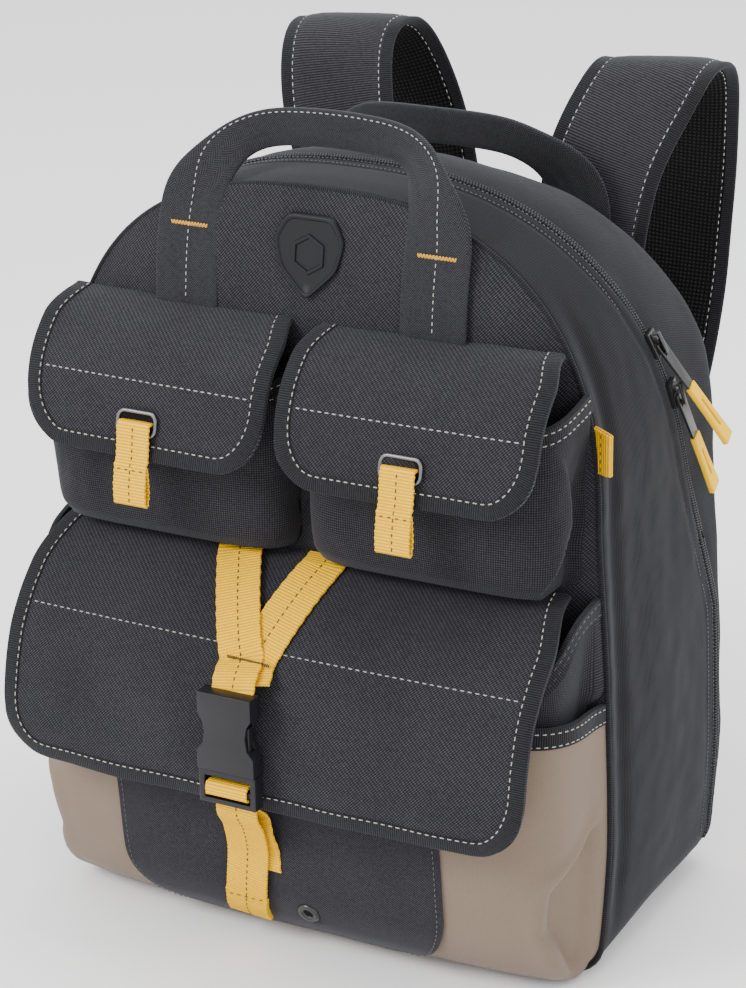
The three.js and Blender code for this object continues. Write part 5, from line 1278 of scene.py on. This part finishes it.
for name, half in HANDLES.items():
    half = np.array([(side * HANDLE_X, y, z, fold) for side, y, z, fold in half])
    rows = np.vstack([half, (half[:-1] * [-1, 1, 1, 1])[::-1]])
    run = length_along(rows[:, :3])
    line = relaxed(through(np.column_stack([run, rows]), np.linspace(0, run[-1], 190)), 40)
    path, fold = line[:, :3], line[:, 3:4].clip(0, 1)
    tangent = np.gradient(path, axis=0)
    tangent = unit(tangent)
    across = np.cross(tangent, (0, -1, 0))
    across = unit(across)
    out = np.cross(across, tangent)
    wide = HANDLE_WIDTH + (GRIP_WIDTH - HANDLE_WIDTH) * fold
    thick = HANDLE_THICKNESS + (GRIP_THICKNESS - HANDLE_THICKNESS) * fold
    profile = handle_round[None] * np.stack([wide, thick], -1) / 2
    # the fold draws a crease up the middle of the webbing where it starts to close
    crease = 1.6 * np.exp(-(((fold - 0.35) / 0.3) ** 2))[..., None] * np.exp(-((profile[..., :1] / 5) ** 2))
    profile = profile - np.concatenate([np.zeros_like(crease), crease * np.sign(profile[..., 1:])], -1) * 0.5
    web = sweep(f"{name}_webbing", path, across, profile, handle_web, out)
    belong(web, "black_webbing", name)
    sign = 1 if name == "front_handle" else -1
    seam = path + across * (wide / 2 - 1.7) * ease(fold) + sign * out * (thick / 2 + 0.05)
    seam_out = sign * out
    seams = [(seam[3:-3], seam_out[3:-3])]
    belong(stitches(f"{name}_stitches", seams, light_thread, 2.2, 1.5, 0.6, 0.35), "black_webbing")
    tacks = []
    tack_z = 391 if name == "front_handle" else 352
    for side in (-1, 1):
        k = int(np.argmin(np.abs(path[:, 2] - tack_z) + (np.sign(path[:, 0]) != side) * 500))
        bar = path[k] + sign * out[k] * (HANDLE_THICKNESS / 2 + 0.1)
        for step in range(24):
            x = -10.5 + 21 * step / 23
            tilt = 1.0 if step % 2 else -1.0
            tacks.append(([bar + (x, 0, -tilt), bar + (x + 0.6, 0, tilt)], sign * out[k]))
    belong(stitches(f"{name}_bar_tacks", tacks, gold_thread, 2.6, 0.1, 0.95, 0.7), "black_webbing")


# The gear loop is a tab of yellow webbing, folded double with both ends sewn into the right-hand
# seam. A dark stitch holds the two layers together.
LOOP_MIDDLE_Z, LOOP_REACH, LOOP_TURN = 299, 12.2, math.radians(-30)
rise = (LOOP_MIDDLE_Z - ARCH_START) / (BODY_HEIGHT - ARCH_START)
seam_x = half_width(np.array([float(ARCH_START)]))[0] * (1 - rise**ARCH_POWER) ** (1 / ARCH_POWER)
root = (seam_x, SEAM_Y + 2, LOOP_MIDDLE_Z)
flat_loop = [(-4, 0.9, 24), (0, 1.0, 23.6), (6, 0.95, 23), (10.6, 0.9, 22.4), (LOOP_REACH, 0.4, 22)]
flat_loop += [(x, -y, width) for x, y, width in flat_loop[::-1]]
rows = []
for x, y, width in flat_loop:
    along_x = x * math.cos(LOOP_TURN) - y * math.sin(LOOP_TURN)
    along_y = x * math.sin(LOOP_TURN) + y * math.cos(LOOP_TURN)
    rows.append((root[0] + along_x, root[1] + along_y, root[2], width, 1.3))
gear_loop, line = webbing("gear_loop_webbing", rows, yellow_web, across=(0, 0, 1), step=0.8, edge_wave=0.1)
belong(gear_loop, "yellow_webbing", "gear_loop")
loop_out = np.array((math.sin(LOOP_TURN), -math.cos(LOOP_TURN), 0))
half_way = np.array(root) + np.array((math.cos(LOOP_TURN), math.sin(LOOP_TURN), 0)) * 5.5 + loop_out * 1.75
seam = half_way + np.column_stack([np.zeros(20), np.zeros(20), np.linspace(-11, 11, 20)])
loop_stitches = stitches("gear_loop_stitches", [(seam, loop_out)], dark_thread, 2.2, 1.5, 0.7, 0.35)
belong(loop_stitches, "yellow_webbing")


# Two cast sliders run on the zip. Each carries a black puller with a yellow grip tag. The upper puller
# swings on its slider, and its tag goes with it.
tag_rubber, tag_tree, tag_shader = finish("yellow_grip", 0.5, specular=0.12)
tag_shader.inputs["Base Color"].default_value = (*YELLOW, 1)
raise_surface(tag_tree, tag_shader, patches(tag_tree, 1.0, 2.0), 0.05)
for level_name in ("upper", "lower"):
    swings = "upper_pull" if level_name == "upper" else "bag"
    moulded(f"zip_slider_{level_name}", black_lacquer, "zip_metal", 0.5)
    moulded(f"zip_pull_{level_name}", black_lacquer, "zip_metal", 0.3, body=swings)
    moulded(f"pull_tag_{level_name}", tag_rubber, "yellow_grip", 0.7, body=swings)


# The back pad is foam under black spacer mesh. It is sewn to the back panel, and rows of stitching
# press channels across it.
PAD_SCALE, PAD_THICKNESS = 0.6, 9
spacer_mesh = woven(
    "spacer_mesh", (0.002, 0.002, 0.002), (0.022, 0.022, 0.024), 2.4, "plain", 0.5, sheen=0.0
)
pad_rim = on_body(REAR_Y)
PAD_ROWS = [(1.0, 0.02), (1.0, 0.35), (0.995, 0.62), (0.98, 0.85), (0.955, 0.97)]
PAD_ROWS += [(share, 1.0) for share in np.linspace(0.93, 0.001, 34)]
pad = np.empty((len(PAD_ROWS), LOOP_LANES, 3))
for row, (share, height) in enumerate(PAD_ROWS):
    pad[row, :, 0] = pad_rim[:, 0] * share * PAD_SCALE
    pad[row, :, 1] = REAR_Y + 0.4 + (PAD_THICKNESS - 0.3) * height
    pad[row, :, 2] = BODY_HEIGHT / 2 + (pad_rim[:, 2] - BODY_HEIGHT / 2) * share * PAD_SCALE
on_top = ease((np.array([row[1] for row in PAD_ROWS]) - 0.9) / 0.1)[:, None]
for channel in (150, 210, 270):
    pad[..., 1] -= 3.2 * np.exp(-(((pad[..., 2] - channel) / 3.0) ** 2)) * on_top
pad[..., 1] += soft(pad, 30, 0.8, 15)[..., 0] * on_top - 0.4
pad_uv = np.stack([pad[..., 0] + pad[..., 1], -pad[..., 2]], -1)
back_pad = cloth("back_pad_mesh", pad, 1.0, spacer_mesh, looped=True, uv=pad_uv)
belong(back_pad, "mesh_padding", "back_pad")


# Shoulder straps are foam between black cloth and spacer mesh, with ribbed tape sewn over both edges.
# Their upper ends are sewn to the back panel under the rear handle, and they arch over and down.
STRAP_WIDTH, STRAP_THICKNESS = 64, 10
STRAP_TABLE = [
    (0.440, 0.5880, 0.8048, 0, 0.95), (0.446, 0.5912, 0.8571, 2, 1), (0.476, 0.589, 0.9381, 10, 1),
    (0.536, 0.684, 1.0143, 17, 1), (0.577, 0.823, 1.0619, 21, 1), (0.577, 1.013, 1.0500, 20, 1),
    (0.536, 1.152, 0.9810, 14, 1), (0.500, 1.253, 0.8762, 6, 1), (0.476, 1.291, 0.7667, 0, 1),
    (0.476, 1.203, 0.6571, 0, 1), (0.488, 1.032, 0.5476, 0, 0.95), (0.524, 0.835, 0.4524, 0, 0.8),
    (0.583, 0.709, 0.3952, 0, 0.6), (0.619, 0.671, 0.3571, 0, 0.5),
]
STRAP_SIDES = {"left": (-1, 7, 4), "right": (1, 0, 0)}
STRAP_FREE_Z = 360
TAPE_WIDTH, TAPED_SHARE = 8.5, 0.76
# one side of the strap's section: shares of its half width, and of its half thickness there
STRAP_SHAPE = [
    (1.0, 0.0), (0.985, 0.18), (0.93, 0.3), (0.86, 0.36),
    (TAPED_SHARE, 0.62), (0.6, 0.84), (0.35, 0.96), (0.0, 1.0),
]
strap_cloth = woven("strap_cloth", CHARCOAL, (0.041, 0.0402, 0.0465), 1.4, "ribbed", 0.06, sheen=0.1)
LOCK_HEIGHT, TAIL_X, TAIL_Z, TAIL_WIDTH, TAIL_THICKNESS = 24, 126, 58, 25, 1.6
tail_web = woven("black_webbing", (0.008, 0.008, 0.01), (0.045, 0.045, 0.05), 1.5, "ribbed", 0.18)
for side, (sign, strap_rise, strap_out) in STRAP_SIDES.items():
    rows = []
    for x, y, z, turn, taper in STRAP_TABLE:
        x, y, z = x * BODY_WIDTH / 2, y * BODY_DEPTH, z * BODY_HEIGHT
        free = min(1, max(0, (z - STRAP_FREE_Z) / (BODY_HEIGHT - STRAP_FREE_Z)))
        rows.append((sign * (x + strap_out * free), y, z + strap_rise * free, math.radians(turn), taper))
    rows = np.array(rows)
    run = length_along(rows[:, :3])
    line = relaxed(through(np.column_stack([run, rows]), np.linspace(0, run[-1], 230)), 90)
    path = line[:, :3]
    tangent = np.gradient(path, axis=0)
    tangent = unit(tangent)
    across = np.column_stack([np.cos(line[:, 3]), np.sin(line[:, 3]), 0 * line[:, 3]])
    across -= tangent * (across * tangent).sum(1, keepdims=True)
    across = unit(across)
    out = np.cross(tangent, across)
    out *= np.sign((out[60] * (0, 0, 1)).sum())
    half = STRAP_WIDTH / 2 * line[:, 4]
    along_run = length_along(path)

    top = STRAP_SHAPE + [(-share, height) for share, height in STRAP_SHAPE[::-1][1:]]
    profile = [(share, height) for share, height in top] + [(-share, -height) for share, height in top[1:-1]]
    profile = np.array(profile)
    wave_of = 1 + 0.05 * np.sin(along_run / 17.0)[:, None]
    # the flat edge under the tape keeps its width where the strap narrows
    shares = np.abs(profile[None, :, 0])
    taped = half[:, None] - (1 - shares) * STRAP_WIDTH / 2
    crown = shares / TAPED_SHARE * (half[:, None] - (1 - TAPED_SHARE) * STRAP_WIDTH / 2)
    reach = np.where(shares >= TAPED_SHARE, taped, crown) * np.sign(profile[None, :, 0])
    sized = np.stack([reach, profile[None, :, 1] * STRAP_THICKNESS / 2 * wave_of], -1)
    pad_piece = sweep(f"shoulder_strap_{side}_pad", path, across, sized, strap_cloth, out)
    pad_piece.data.materials.append(spacer_mesh)
    sides = len(profile)
    face_side = np.arange((len(path) - 1) * sides) % sides
    index = np.zeros(len(pad_piece.data.polygons), np.int32)
    index[: len(face_side)] = face_side >= len(top) - 1
    pad_piece.data.polygons.foreach_set("material_index", index)
    belong(pad_piece, "mesh_padding", f"shoulder_strap_{side}")

    seams = []
    for edge in (-1, 1):
        edge_line = path + across * (edge * half[:, None])
        over = [(0.2, 0.95), (-0.6, 1.7), (-TAPE_WIDTH + 2, 2.45), (-TAPE_WIDTH, 2.75), (-TAPE_WIDTH, 2.0)]
        fold = [(0.5, 0), *over, *[(x, -height) for x, height in over[::-1]]]
        name = f"shoulder_strap_{side}_tape_{'right' if edge > 0 else 'left'}"
        tape = sweep(name, edge_line, across * edge, fold, binding_tape, out)
        belong(tape, "mesh_padding")
        for face in (1, -1):
            seams.append((edge_line - across * edge * (TAPE_WIDTH - 1.6) + out * face * 2.75, out * face))
    strap_stitches = stitches(f"shoulder_strap_{side}_stitches", seams, light_thread, 2.6, 1.7, 0.6, 0.35)
    belong(strap_stitches, "mesh_padding")

    # the ladder lock at the strap's end, and the webbing tail that runs from it to the bag's foot
    moulded(f"ladder_lock_{side}", black_plastic, "black_plastic", 0.5)
    end_x, end_y, end_z = rows[-1][:3]
    lock_top = end_z - 7
    behind = end_y - 2 - 0.3 - TAIL_THICKNESS / 2 - 1
    foot_x, foot_y = sign * TAIL_X, REAR_Y + 0.3 + TAIL_THICKNESS / 2 + 0.2

    def between(a, b, share):
        return a + (b - a) * share

    route = [
        (end_x, behind, lock_top - 5), (end_x, behind, lock_top - LOCK_HEIGHT - 2),
        (between(end_x, foot_x, 0.4), between(behind, foot_y, 0.45), 106),
        (between(end_x, foot_x, 0.75), between(behind, foot_y, 0.86), 90),
        (between(end_x, foot_x, 0.92), foot_y, 78), (foot_x, foot_y, TAIL_Z),
    ]
    route = [(*place, TAIL_WIDTH, TAIL_THICKNESS) for place in route]
    tail, _ = webbing(f"strap_tail_{side}_webbing", route, tail_web)
    belong(tail, "black_webbing", f"strap_tail_{side}")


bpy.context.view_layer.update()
